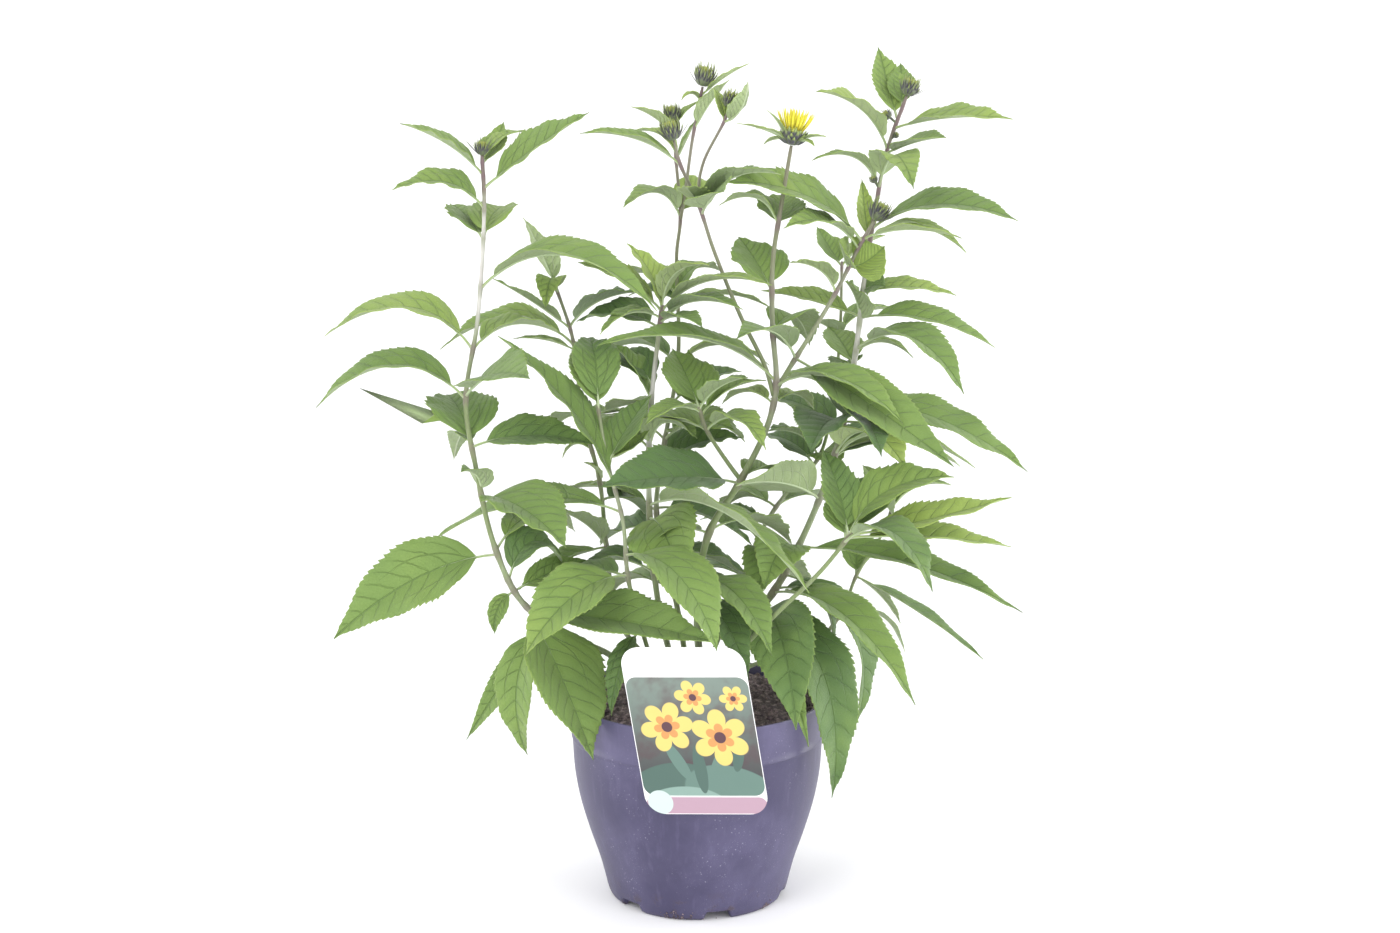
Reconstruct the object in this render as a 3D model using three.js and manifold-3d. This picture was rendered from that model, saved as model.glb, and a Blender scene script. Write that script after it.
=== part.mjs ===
// A perennial sunflower in its plastic nursery pot: ten leafy stems with serrated, arching
// leaves, eight closed buds and one opening bloom, rooted in a filled pot with a folded plant
// label hung over its rim. Millimetres, +Z up, origin at the centre of the pot's flat underside,
// front of the plant towards -Y.
import * as THREE from "three";
import { mergeVertices } from "three/addons/utils/BufferGeometryUtils.js";
import Module from "manifold-3d";

const { Vector2, Vector3 } = THREE;
const wasm = await Module();
wasm.setup();

// ---------------------------------------------------------------- driving dimensions
const POT = {
  rim: 97.5, // outer radius at the rim
  height: 157, // rim above the surface the pot stands on
  wall: 2,
  floor: 3,
  foot: 66, // outer radius at the underside
  seam: [126, 127, 128.5], // heights of the raised line round the collar
  segments: 24,
};
const NOTCH = { count: 6, width: 20, height: 7, depth: 14, first: 77 }; // drainage notches
const SOIL = { edge: 148, crown: 13, crumb: 2.2, gap: 0.35 };
const LABEL = {
  width: 89,
  height: 125,
  corner: 14,
  card: 0.8,
  lean: 9.3, // degrees, sideways
  centre: -12, // x of the fold's middle
  top: 220, // height of the fold
  clear: 0.4, // in front of the rim
  tongue: { width: 40, reach: 14, foot: 132, gap: 0.3 },
};
const LEAF = {
  thickness: 0.75,
  petiole: 16, // longest bare stalk between stem and blade
  petioleShare: 0.13,
  petioleHalf: 0.9, // half the stalk's width
  petioleThick: 1.4,
  rootHalf: 0.6, // half the stalk's width where it is sunk in the stem
  widest: 0.36, // where the blade is widest, from its foot
  swell: 0.75, // how blunt the blade's foot is
  fold: 18, // degrees that each half lifts from the midrib
  notch: 0.86, // width left in the notch behind each tooth
  notchRun: 0.035,
  shoulder: 0.2, // where a small untoothed blade's foot rounds out
  firstTooth: 0.27,
  toothRun: 0.6, // share of the blade that carries teeth
  toothLengths: [45, 80], // a leaf longer than each of these has one tooth more a side
};
const STEM = { sides: 4, step: 40, holeGap: 0.5 };
const GAP = 0.3; // between a head and the stem that carries it

// ---------------------------------------------------------------- the leafy stems
// Each axis has its line from foot to top, its radius at both ends, and its leaves:
// [height on the axis, tip x, tip y, tip z, width, arch, roll]. A later axis of the same stem
// is a branch that starts inside the one before it.
const STEMS = {
  stem_far_left: [{
    line: [
      [-35, -5, 130], [-36, -5, 162], [-66, -14, 191], [-100, -24, 210], [-132, -31, 238],
      [-151, -31, 280], [-164, -24, 336], [-172, -14, 385], [-163, -4, 446], [-157, 0, 530],
      [-158, 0, 566],
    ],
    radius: [2.6, 1.3],
    leaves: [
      [232, -76, -84, 131, 74, 4, 0], [220, -127, -50, 124, 36, 26, 0],
      [222, -176, -20, 126, 22, 0, 70], [245, -151, -38, 214, 16, 6, 60],
      [245, -81, 10, 259, 26, 3, -40], [253, -100, -1, 255, 34, 26, -20],
      [273, -267, -60, 216, 58, 12, 48], [276, -97, 70, 269, 36, 20, 0],
      [316, -93, -95, 292, 64, 9, -8], [318, -173, -45, 338, 28, 8, 0],
      [352, -193, 40, 383, 60, 8, 0], [352, -75, -26, 355, 40, 8, -28],
      [350, -191, 60, 328, 22, 16, 0], [387, -283, -15, 381, 42, 28, 15],
      [389, -116, -108, 415, 54, 10, -25], [423, -277, -5, 433, 44, 27, 15],
      [423, -104, 28, 431, 40, 14, 0], [468, -29, -47, 456, 48, 32, -10],
      [504, -189, 61, 527, 38, 4, 0], [504, -146, 60, 525, 40, 8, 0],
      [527, -223, -10, 541, 36, 13, 22], [542, -78, -18, 597, 42, 2, -34],
      [551, -216, -12, 589, 32, 6, 10], [560, -145, 36, 590, 24, -3, 0],
      [562, -126, 45, 582, 16, 8, 0], [226, 15, -99, 223, 56, 5, -22],
    ],
  }],
  stem_thin_left: [{
    line: [
      [-25, -28, 130], [-26, -29, 162], [-39, -38, 209], [-51, -44, 257], [-55, -38, 300],
      [-66, -26, 340], [-74, -16, 383],
    ],
    radius: [1.9, 1.2],
    leaves: [
      [321, -147, -19, 435, 48, 11, 10], [340, -34, 6, 388, 40, 3, 0],
      [345, -36, -7, 363, 26, -4, 0], [380, -83, 40, 427, 40, 15, 0],
      [306, -209, 45, 265, 34, 20, 20], [260, -123, -100, 214, 54, 14, 22],
      [275, 14, -113, 221, 58, 22, 0], [218, -63, -72, 161, 22, 10, 0],
      [378, -95, 25, 420, 36, 8, 0], [258, -112, -12, 242, 40, 10, 0],
    ],
  }],
  stem_left_back: [{
    line: [
      [-29, 22, 130], [-31, 22, 164], [-62, 35, 206], [-71, 40, 265], [-76, 42, 316],
      [-89, 46, 366], [-96, 50, 425], [-111, 50, 472], [-116, 50, 490],
    ],
    radius: [2.2, 1.1],
    leaves: [
      [464, -131, 28, 519, 30, 2, 0], [460, -114, 15, 452, 24, 16, 0],
      [433, -154, 20, 474, 26, 2, 0], [434, -44, 40, 462, 46, 8, 0],
      [420, -197, 40, 418, 40, 22, 10], [416, -142, 52, 425, 16, 4, 0],
      [339, -105, 50, 332, 12, 8, 0], [314, -88, 40, 330, 18, 4, 0],
      [263, -137, 15, 235, 34, 6, 0], [263, -109, -5, 302, 36, 6, 0],
      [316, -114, 60, 301, 16, 0, 0], [366, -111, 60, 354, 36, 4, 0],
      [366, -52, 78, 366, 34, 0, 0],
    ],
  }],
  stem_pale_middle: [{
    line: [
      [-15, 0, 130], [-16, 0, 164], [-29, 5, 221], [-36, 10, 285], [-36, 10, 364], [-31, 10, 417],
      [-26, 10, 455],
    ],
    radius: [2.6, 1.6],
    leaves: [
      [250, 42, 22, 236, 46, 18, 0], [250, -104, 13, 232, 44, 18, 0],
      [346, -98, 22, 346, 42, 14, 0], [450, -53, 23, 500, 34, 6, 0],
      [450, -88, -8, 488, 40, 6, 20], [452, 9, -22, 487, 28, 14, 0],
      [450, 54, -39, 474, 30, 14, 0], [445, 33, -35, 456, 32, 10, 0],
      [445, -72, -10, 435, 28, 10, 0], [442, 4, -45, 444, 26, 6, 0], [440, 59, 40, 448, 22, 18, 0],
      [382, -65, 22, 425, 38, 4, 0], [382, -72, 45, 369, 36, 2, 0], [344, 0, -4, 356, 44, 18, 0],
      [292, -11, -71, 257, 62, 12, -30], [302, 78, -132, 268, 46, 25, 25],
    ],
  }],
  stem_middle_back: [{
    line: [
      [-7, 28, 130], [-8, 29, 164], [-17, 40, 221], [-32, 50, 287], [-28, 55, 329], [-15, 60, 410],
      [-16, 60, 489], [-13, 60, 517], [-16, 60, 557], [-19, 60, 590],
    ],
    radius: [2.4, 1.1],
    leaves: [
      [517, -56, 40, 526, 40, 16, 0], [517, 19, 90, 539, 34, 10, -25],
      [578, -50, 50, 601, 26, 4, 0], [561, 0, 62, 593, 16, 0, 0], [582, 4, 70, 606, 16, 4, 0],
      [455, 19, 85, 474, 36, 14, 0], [404, 56, 60, 403, 32, 16, 0], [404, -82, 92, 402, 38, 16, 0],
      [455, -62, 95, 468, 36, 12, 0], [345, -92, 88, 340, 42, 16, 0],
      [345, 38, 88, 338, 42, 16, 0], [226, -78, 78, 205, 46, 18, 0], [226, 44, 57, 200, 44, 18, 0],
      [289, -111, 85, 298, 20, 12, 0], [345, 28, -10, 363, 40, 10, -25],
    ],
  }, {
    line: [
      [-13, 60, 515], [-9, 55, 539], [-4, 55, 575], [2, 55, 606], [4, 55, 616],
    ],
    radius: [1.3, 1.1],
    leaves: [
      [584, 24, 45, 621, 28, 2, 0], [609, 39, 51, 633, 16, 2, 0], [606, -12, 48, 606, 10, 5, 0],
    ],
  }],
  stem_main: [{
    line: [
      [4, -14, 130], [4, -14, 166], [0, -12, 218], [8, -10, 283], [33, -5, 325], [53, 0, 366],
      [59, 0, 396], [56, 0, 440], [56, 0, 489], [62, 0, 530], [69, 0, 573],
    ],
    radius: [3.2, 1.4],
    leaves: [
      [515, 66, 45, 537, 40, -1, -5], [515, 16, 8, 529, 32, 14, 0], [466, 31, 38, 504, 52, 2, 0],
      [434, 86, 40, 421, 42, 18, 0], [398, -72, -45, 431, 40, 20, 10],
      [395, 147, -72, 378, 40, 19, -5], [381, 19, 32, 377, 24, 10, 0],
      [381, 90, 45, 371, 24, 10, 0], [322, -70, -80, 333, 58, 6, 28], [326, 64, 20, 325, 36, 6, 0],
      [286, 74, 49, 263, 46, 14, 0], [284, -40, -25, 277, 44, 9, 0],
      [249, 54, -85, 210, 42, 16, 0], [233, 37, -94, 195, 34, 14, 0],
    ],
  }, {
    line: [
      [57, 0, 388], [51, 0, 409], [32, 0, 448], [12, 0, 497], [1, 0, 530], [-13, -8, 561],
      [-17, -10, 577],
    ],
    radius: [1.7, 1.1],
    leaves: [
      [523, 61, -33, 553, 36, 14, 0], [523, 19, -62, 542, 42, 5, -25],
      [529, -9, -40, 545, 26, 2, 0], [558, -85, -20, 582, 26, 9, 10],
      [561, -53, 20, 581, 16, 12, 0],
    ],
  }, {
    line: [
      [2, 0, 526], [1, 4, 544], [5, 5, 562], [20, 5, 591], [23, 5, 600],
    ],
    radius: [1.2, 1.0],
    leaves: [
      [590, 12, 14, 615, 12, 2, 0], [590, 37, -5, 619, 28, -6, 0],
    ],
  }, {
    line: [
      [33, -5, 324], [23, -8, 338], [6, -15, 366], [1, -18, 382],
    ],
    radius: [1.8, 1.2],
    leaves: [
      [380, -19, 20, 421, 50, 2, 0], [380, -7, 25, 420, 40, -6, 0], [380, 37, -40, 407, 34, 6, 0],
      [378, -38, -47, 373, 32, 8, 0], [375, 52, 10, 398, 20, 8, 0], [364, 50, -50, 355, 36, 16, 0],
      [364, -43, 5, 366, 40, 6, 0],
    ],
  }, {
    line: [
      [59, 0, 392], [69, 5, 408], [86, 12, 434], [104, 20, 463], [121, 26, 496], [133, 28, 517],
    ],
    radius: [1.9, 1.2],
    leaves: [
      [415, 28, -67, 438, 36, 14, 0], [415, 181, -97, 351, 52, 3, -17],
      [463, 69, 5, 487, 30, 8, 0], [482, 141, 25, 498, 46, -3, -60], [482, 105, 8, 504, 38, 0, 60],
      [501, 18, -25, 547, 46, 15, 35], [496, 62, -42, 515, 30, 13, 20],
      [503, 194, -11, 506, 26, 7, 0],
    ],
  }],
  stem_right: [{
    line: [
      [19, 10, 130], [20, 10, 164], [34, 16, 195], [66, 28, 242], [95, 35, 304], [112, 40, 359],
      [122, 40, 421], [127, 40, 471], [134, 40, 520], [143, 40, 569], [157, 40, 609],
    ],
    radius: [3.0, 1.2],
    leaves: [
      [302, 28, -48, 328, 52, 8, -35], [302, 158, 90, 276, 46, 18, 0],
      [404, 110, 70, 397, 30, 6, 0], [264, 241, -45, 232, 38, 13, -12],
      [230, 158, -89, 174, 48, 24, 0], [218, 101, -49, 90, 54, 42, 0],
      [216, 72, -87, 155, 58, 27, -15], [202, 81, -86, 142, 24, 20, 0],
      [244, 122, 2, 130, 44, 34, 0], [233, 105, 20, 192, 42, 18, 0],
      [246, 44, -28, 237, 46, 22, 0], [360, 130, -95, 358, 56, 21, 10],
      [358, 81, -75, 358, 56, 12, 0], [362, 218, 60, 322, 30, 8, 0],
      [377, 249, 0, 330, 44, 13, -18], [418, 195, -36, 394, 44, 25, -5],
      [416, 165, 35, 412, 22, 10, 0], [404, 103, 90, 430, 34, 4, 0],
      [442, 226, 27, 421, 38, 10, -18], [437, 112, 30, 471, 44, 5, 30],
      [443, 49, 51, 462, 34, 3, 15], [462, 198, 44, 459, 30, 5, -15],
      [462, 143, 35, 466, 42, 3, -30], [510, 234, -16, 519, 44, 15, -22],
      [503, 202, 22, 493, 30, 14, 0], [500, 125, 50, 547, 20, -2, 0],
      [540, 155, -40, 543, 36, 24, 0], [539, 85, 10, 562, 18, 15, 0],
      [566, 181, -12, 579, 34, 3, -15], [569, 87, 0, 612, 38, 12, 20],
      [585, 229, -12, 592, 36, 5, -15], [591, 138, 78, 646, 30, 0, 0],
      [600, 155, 72, 634, 24, 0, 0], [335, 155, -22, 335, 54, 24, 0],
      [333, 171, 36, 345, 28, 14, 0], [337, 210, 90, 318, 24, 16, 0],
      [262, 50, -35, 247, 44, 16, 20],
    ],
  }],
  stem_low_right: [{
    line: [
      [11, -38, 130], [12, -38, 166], [33, -50, 205], [61, -60, 238], [90, -64, 268],
      [113, -60, 296],
    ],
    radius: [2.2, 1.5],
    leaves: [
      [294, 228, -61, 322, 40, -2, -15], [292, 229, -60, 285, 42, 4, -10],
      [293, 186, -61, 337, 46, 15, -25], [292, 92, -31, 353, 40, 5, 0],
      [294, 140, -15, 336, 48, 0, 0], [290, 104, -30, 325, 32, 2, 0],
      [288, 165, -120, 266, 42, 26, 0],
    ],
  }],
  stem_thin_right: [{
    line: [
      [30, 45, 130], [32, 46, 158], [60, 62, 168], [96, 76, 178], [116, 82, 200], [128, 86, 230],
      [147, 90, 260], [157, 92, 286],
    ],
    radius: [1.8, 1.1],
    leaves: [
      [229, 228, 60, 167, 26, 4, 0], [229, 166, 105, 185, 18, 4, 0],
      [229, 131, 120, 258, 26, 2, 0], [192, 171, 115, 158, 14, 20, 0],
      [282, 205, 105, 300, 30, 10, 0], [283, 135, 130, 312, 28, 4, 0],
    ],
  }],
  stem_back_right: [{
    line: [
      [8, 55, 130], [9, 55, 162], [30, 68, 214], [50, 78, 266], [72, 88, 298], [97, 96, 324],
      [109, 104, 370], [114, 110, 425], [115, 112, 480],
    ],
    radius: [2.0, 1.1],
    leaves: [
      [232, -14, 92, 205, 46, 18, 0], [232, 90, 112, 205, 44, 18, 0],
      [286, 14, 100, 268, 44, 16, 0], [286, 122, 132, 264, 42, 16, 0],
      [370, 62, 112, 382, 38, 12, 0], [370, 160, 132, 366, 38, 14, 0],
      [324, 54, 60, 351, 36, 10, 0], [418, 88, 90, 435, 34, 4, 0], [424, 160, 125, 440, 34, 8, 0],
      [476, 96, 135, 506, 30, -1, 0], [476, 150, 120, 500, 30, 4, 0],
      [324, 110, 60, 321, 36, 8, -20],
    ],
  }],
};

// Closed heads: [stem, axis, radius, bracts]
const BUDS = {
  bud_far_left: ["stem_far_left", 0, 4.5, 5],
  bud_left: ["stem_left_back", 0, 4, 5],
  bud_side_middle: ["stem_middle_back", 0, 5.5, 6],
  bud_top_middle: ["stem_middle_back", 1, 7, 7],
  bud_front_middle: ["stem_main", 1, 6.5, 7],
  bud_branch_middle: ["stem_main", 2, 5.5, 6],
  bud_low_right: ["stem_main", 4, 6.5, 7],
  bud_top_right: ["stem_right", 0, 6, 7],
};
const BUD = { height: 1.25, bractHalf: 0.22, splay: 32, core: 6 };
const BLOOM = {
  stem: "stem_main",
  axis: 0,
  radius: 9,
  cup: 9, // height of the green cup
  bracts: 9,
  rays: 13,
  rayLength: 19,
  rayHalf: 1.5,
  inner: 6,
  sepals: [[-22, -6, 22], [-42, 2, 9], [-28, -12, 8], [24, -6, 10], [16, -14, 2], [-20, 10, -3]],
  sepalWidth: 9,
};

const COLOUR = {
  pot: 0x5a5678, soil: 0x2f2622, label: 0xefece6, leaf: 0x6f9a4e, bud: 0x4c5a3c, ray: 0xe8d23a,
};

// ---------------------------------------------------------------- helpers
const radians = THREE.MathUtils.degToRad;
const vector = ([x, y, z]) => new Vector3(x, y, z);

/** A manifold solid of a closed three.js geometry. */
function solidOf(geometry) {
  const bare = geometry.clone();
  bare.deleteAttribute("normal");
  bare.deleteAttribute("uv");
  const merged = mergeVertices(bare, 1e-4);
  return solidFrom(merged.attributes.position.array, merged.index.array);
}

/** A manifold solid of a vertex list and a triangle list. */
function solidFrom(points, triangles) {
  return new wasm.Manifold(new wasm.Mesh({
    numProp: 3,
    vertProperties: new Float32Array(points),
    triVerts: new Uint32Array(triangles),
  }));
}

/** The three.js geometry of a manifold solid. */
function geometryOf(solid) {
  const mesh = solid.getMesh();
  const geometry = new THREE.BufferGeometry();
  geometry.setAttribute("position", new THREE.BufferAttribute(mesh.vertProperties, 3));
  geometry.setIndex(new THREE.BufferAttribute(mesh.triVerts, 1));
  geometry.computeVertexNormals();
  return geometry;
}

/** One named mesh in its own plain material. */
function meshOf(name, geometry, color, roughness = 0.6) {
  const mesh = new THREE.Mesh(geometry, new THREE.MeshStandardMaterial({ color, roughness }));
  mesh.name = name;
  return mesh;
}

const union = (solids) => solids.reduce((whole, next) => whole.add(next));

// ---------------------------------------------------------------- stems
const curveOf = (axis) => new THREE.CatmullRomCurve3(axis.line.map(vector), false, "centripetal");

/** The centres of a stem's rings, evenly spaced along its axis. */
function spineOf(axis) {
  const curve = curveOf(axis);
  return curve.getSpacedPoints(Math.max(3, Math.round(curve.getLength() / STEM.step)));
}

/** A tapering round stem along an axis, grown by `extra` all round. */
function stemSolid(axis, extra = 0) {
  const curve = curveOf(axis);
  const centres = spineOf(axis);
  const steps = centres.length - 1;
  const ring = Array.from({ length: STEM.sides }, (_, i) => {
    const turn = (2 * Math.PI * i) / STEM.sides;
    return new Vector2(Math.cos(turn), Math.sin(turn));
  });
  const tube = new THREE.ExtrudeGeometry(new THREE.Shape(ring), {
    steps, extrudePath: curve, bevelEnabled: false,
  });
  const place = tube.attributes.position;
  const point = new Vector3();
  for (let i = 0; i < place.count; i += 1) {
    point.fromBufferAttribute(place, i);
    let nearest = 0;
    centres.forEach((centre, k) => {
      if (centre.distanceTo(point) < centres[nearest].distanceTo(point)) nearest = k;
    });
    const radius = THREE.MathUtils.lerp(...axis.radius, nearest / steps) + extra;
    point.sub(centres[nearest]).multiplyScalar(radius).add(centres[nearest]);
    place.setXYZ(i, point.x, point.y, point.z);
  }
  return solidOf(tube);
}

/** The middle of a stem at a height. */
function pointAtHeight(axis, height) {
  const spine = spineOf(axis);
  const above = Math.max(1, spine.findIndex((centre) => centre.z >= height));
  const [low, high] = [spine[above - 1], spine[above]];
  return low.clone().lerp(high, (height - low.z) / (high.z - low.z));
}

// ---------------------------------------------------------------- leaves
/** Share of the full width at t along the blade: blunt foot, long drawn-out tip. */
function bladeWidth(t) {
  const fall = (LEAF.swell * (1 - LEAF.widest)) / LEAF.widest;
  return (t / LEAF.widest) ** LEAF.swell * ((1 - t) / (1 - LEAF.widest)) ** fall;
}

/** Midrib from the stem to the tip, rising by about `arch` over the straight line between. */
function midribOf(root, tip, arch) {
  const run = tip.clone().sub(root);
  const chord = run.length();
  run.normalize();
  const lift = new Vector3(0, 0, 1).addScaledVector(run, -run.z).normalize();
  const at = (share, rise) => root.clone()
    .addScaledVector(run, share * chord).addScaledVector(lift, rise * arch);
  return new THREE.CubicBezierCurve3(root, at(0.28, 1.5), at(0.68, 1.2), tip);
}

/** Steps along the midrib and along the toothed edge: [share of the blade, width share]. */
function bladeSteps(length) {
  const teeth = LEAF.toothLengths.filter((limit) => length > limit).length;
  const ribs = Math.max(3, teeth + 1);
  const mid = Array.from({ length: ribs - 1 }, (_, i) => [(i + 1) / ribs, 0]);
  const edge = [[-1, 0], [0, 0]];
  if (!teeth) edge.push([LEAF.shoulder, bladeWidth(LEAF.shoulder)], [0.5, bladeWidth(0.5)]);
  for (let k = 0; k < teeth; k += 1) {
    const t = LEAF.firstTooth + (LEAF.toothRun * k) / teeth;
    edge.push([t, bladeWidth(t)], [t + LEAF.notchRun, LEAF.notch * bladeWidth(t + LEAF.notchRun)]);
  }
  return { mid, edge };
}

/** One leaf with its stalk, folded along its midrib and toothed along both edges. */
function leafSolid(root, tip, width, arch, roll = 0) {
  const curve = midribOf(root, tip, arch);
  const length = curve.getLength();
  const stalk = Math.min(LEAF.petiole, LEAF.petioleShare * length);
  const heading = new Vector3(tip.x - root.x, tip.y - root.y, 0).normalize();
  const level = heading.clone().cross(new Vector3(0, 0, 1));
  const { mid, edge } = bladeSteps(length);
  const upper = [];
  const lower = [];
  const shares = [];

  const place = ([t, share], side) => {
    const along = t < 0 ? 0 : Math.min(1, (stalk + t * (length - stalk)) / length);
    const centre = curve.getPointAt(along);
    const tangent = curve.getTangentAt(along);
    const flat = level.clone().cross(tangent).normalize();
    const turn = radians(roll) * Math.min(1, along / 0.2);
    const across = level.clone().multiplyScalar(Math.cos(turn))
      .addScaledVector(flat, Math.sin(turn));
    const normal = across.clone().cross(tangent).normalize();
    const stalkHalf = t < 0 ? LEAF.rootHalf : LEAF.petioleHalf;
    const half = Math.max(share * (width / 2), stalkHalf) * Math.abs(side);
    const fold = radians(LEAF.fold);
    centre.addScaledVector(across, side * half * Math.cos(fold));
    centre.addScaledVector(normal, half * Math.sin(fold));
    const thick = t === 0 ? LEAF.petioleThick : LEAF.thickness;
    upper.push(centre.clone().addScaledVector(normal, thick / 2));
    lower.push(centre.clone().addScaledVector(normal, -thick / 2));
    shares.push(t);
    return upper.length - 1;
  };
  const rib = mid.map((step) => place(step, 0));
  const left = edge.map((step) => place(step, 1));
  const right = edge.map((step) => place(step, -1));
  const end = place([1, 0], 0);

  const faces = [[left[0], left[1], right[1]], [left[0], right[1], right[0]],
    [left[1], rib[0], right[1]]];
  for (const [outer, flip] of [[left, false], [right, true]]) {
    const side = [...outer.slice(1), end];
    let [i, j] = [0, 0];
    while (i < rib.length - 1 || j < side.length - 1) {
      const ribNext = i < rib.length - 1
        && (j === side.length - 1 || shares[rib[i + 1]] <= shares[side[j + 1]]);
      const face = ribNext ? [rib[i], side[j], rib[i + 1]] : [rib[i], side[j], side[j + 1]];
      faces.push(flip ? [face[0], face[2], face[1]] : face);
      if (ribNext) i += 1;
      else j += 1;
    }
  }
  const rim = [...left, end, ...right.toReversed()];
  const count = upper.length;
  const triangles = [];
  for (const [a, b, c] of faces) triangles.push(a, b, c, a + count, c + count, b + count);
  rim.forEach((a, k) => {
    const b = rim[(k + 1) % rim.length];
    triangles.push(a, a + count, b + count, a, b + count, b);
  });
  return solidFrom([...upper, ...lower].flatMap((p) => p.toArray()), triangles);
}

/** All the solids of one axis: its stem and its leaves. */
function axisSolids(axis) {
  return [stemSolid(axis), ...axis.leaves.map(([height, x, y, z, width, arch, roll]) => (
    leafSolid(pointAtHeight(axis, height), new Vector3(x, y, z), width, arch, roll)))];
}

// ---------------------------------------------------------------- heads
/** A three-sided spike from one point to another, for bracts and rolled rays. */
function spikeSolid(from, to, half) {
  const run = to.clone().sub(from);
  const cone = new THREE.ConeGeometry(half, run.length(), 3);
  cone.translate(0, run.length() / 2, 0);
  cone.applyQuaternion(new THREE.Quaternion()
    .setFromUnitVectors(new Vector3(0, 1, 0), run.clone().normalize()));
  cone.translate(from.x, from.y, from.z);
  return solidOf(cone);
}

/** A solid turned about +Z from [radius, height] points. */
function turned(profile, segments) {
  const lathe = new THREE.LatheGeometry(profile.map(([r, z]) => new Vector2(r, z)), segments);
  lathe.rotateX(Math.PI / 2);
  return solidOf(lathe);
}

const polar = (radius, turn, z) => new Vector3(
  radius * Math.cos(turn), radius * Math.sin(turn), z,
);

/** A closed head: a round cup ringed with narrow bracts that spread upwards. */
function budSolid(radius, bracts) {
  const height = radius * BUD.height;
  const cup = turned([
    [0, 0], [0.35 * radius, 0], [0.9 * radius, 0.35 * height], [radius, 0.7 * height],
    [0.6 * radius, height], [0, 1.1 * height],
  ], BUD.core);
  const spikes = Array.from({ length: bracts }, (_, i) => {
    const turn = (2 * Math.PI * i) / bracts;
    const inner = i % 2;
    const reach = radius * (1 + Math.sin(radians(BUD.splay)) * (inner ? 0.35 : 1));
    const from = polar(0.62 * radius, turn, 0.35 * height);
    return spikeSolid(from, polar(reach, turn, height * (inner ? 1.9 : 1.5)),
      BUD.bractHalf * radius);
  });
  return union([cup, ...spikes]);
}

/** The green cup of the open bloom with its spreading bracts and six small leaves. */
function bloomCupSolid() {
  const { radius, cup, bracts } = BLOOM;
  const bowl = turned([
    [0, 0], [0.3 * radius, 0], [0.8 * radius, 0.35 * cup], [radius, cup], [0, cup],
  ], 10);
  const spikes = Array.from({ length: bracts }, (_, i) => {
    const turn = (2 * Math.PI * (i + 0.5)) / bracts;
    return spikeSolid(polar(0.72 * radius, turn, 0.3 * cup),
      polar(1.45 * radius, turn, (i % 2 ? 1.25 : 0.8) * cup), 1.6);
  });
  const leaves = BLOOM.sepals.map((tip) => leafSolid(
    polar(0.6 * radius, Math.atan2(tip[1], tip[0]), 0.4 * cup), vector(tip), BLOOM.sepalWidth, 2));
  return union([bowl, ...spikes, ...leaves]);
}

/** The yellow rays, still rolled and upright, on a small disc. */
function bloomRaySolid() {
  const { radius, cup, rays, inner, rayLength, rayHalf } = BLOOM;
  const seat = cup + GAP;
  const disc = turned([
    [0, seat], [0.75 * radius, seat], [0.7 * radius, 1.35 * cup], [0, 1.7 * cup],
  ], 9);
  const ring = (count, reach, length, phase) => Array.from({ length: count }, (_, i) => {
    const turn = (2 * Math.PI * (i + phase)) / count;
    return spikeSolid(polar(0.4 * radius, turn, 1.2 * cup), polar(reach, turn, cup + length),
      rayHalf);
  });
  return union([
    disc,
    ...ring(rays, 1.3 * radius, rayLength, 0),
    ...ring(inner, 0.5 * radius, 0.9 * rayLength, 0.5),
  ]);
}

/** Place a head mesh on the top of its stem, along the stem's own direction. */
function seatHead(mesh, stem, axis) {
  const curve = curveOf(STEMS[stem][axis]);
  const along = curve.getTangentAt(1);
  mesh.position.copy(curve.getPointAt(1)).addScaledVector(along, GAP);
  mesh.quaternion.setFromUnitVectors(new Vector3(0, 0, 1), along);
  return mesh;
}

// ---------------------------------------------------------------- pot, soil and label
/** Outer radius of the pot at a height: upright collar, swelling belly, narrow foot. */
const POT_OUTLINE = [
  [0, POT.foot], [3, 69], [14, 71.8], [30, 76], [54, 84], [78, 90.8], [100, 94.6],
  [126, 96.3], [127, 97], [128.5, 96.4], [POT.height, POT.rim],
];

/** The pot: a thin turned shell with drainage notches round its foot. */
function potSolid() {
  const outer = POT_OUTLINE.map(([z, r]) => [r, z]);
  const inner = POT_OUTLINE.filter(([z]) => z > POT.floor && !POT.seam.includes(z))
    .map(([z, r]) => [r - POT.wall, z]).reverse();
  const shell = turned([
    [0, 0], ...outer, ...inner, [outer[1][0] - POT.wall, POT.floor], [0, POT.floor],
  ], POT.segments);
  const cuts = Array.from({ length: NOTCH.count }, (_, i) => {
    const box = new THREE.BoxGeometry(NOTCH.depth, NOTCH.width, 2 * NOTCH.height);
    box.translate(POT.foot + 2, 0, 0);
    box.rotateZ(radians(-NOTCH.first + (360 * i) / NOTCH.count));
    return solidOf(box);
  });
  return cuts.reduce((pot, cut) => pot.subtract(cut), shell);
}

/** Soil surface height: a low crumbly mound. */
function soilHeight(x, y, reach) {
  const mound = SOIL.crown * (1 - reach ** 2);
  const crumbs = Math.sin(0.31 * x + 1.1) * Math.cos(0.27 * y) + 0.6 * Math.sin(0.53 * (x - y));
  return SOIL.edge + mound + SOIL.crumb * crumbs * (1 - 0.6 * reach);
}

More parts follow.
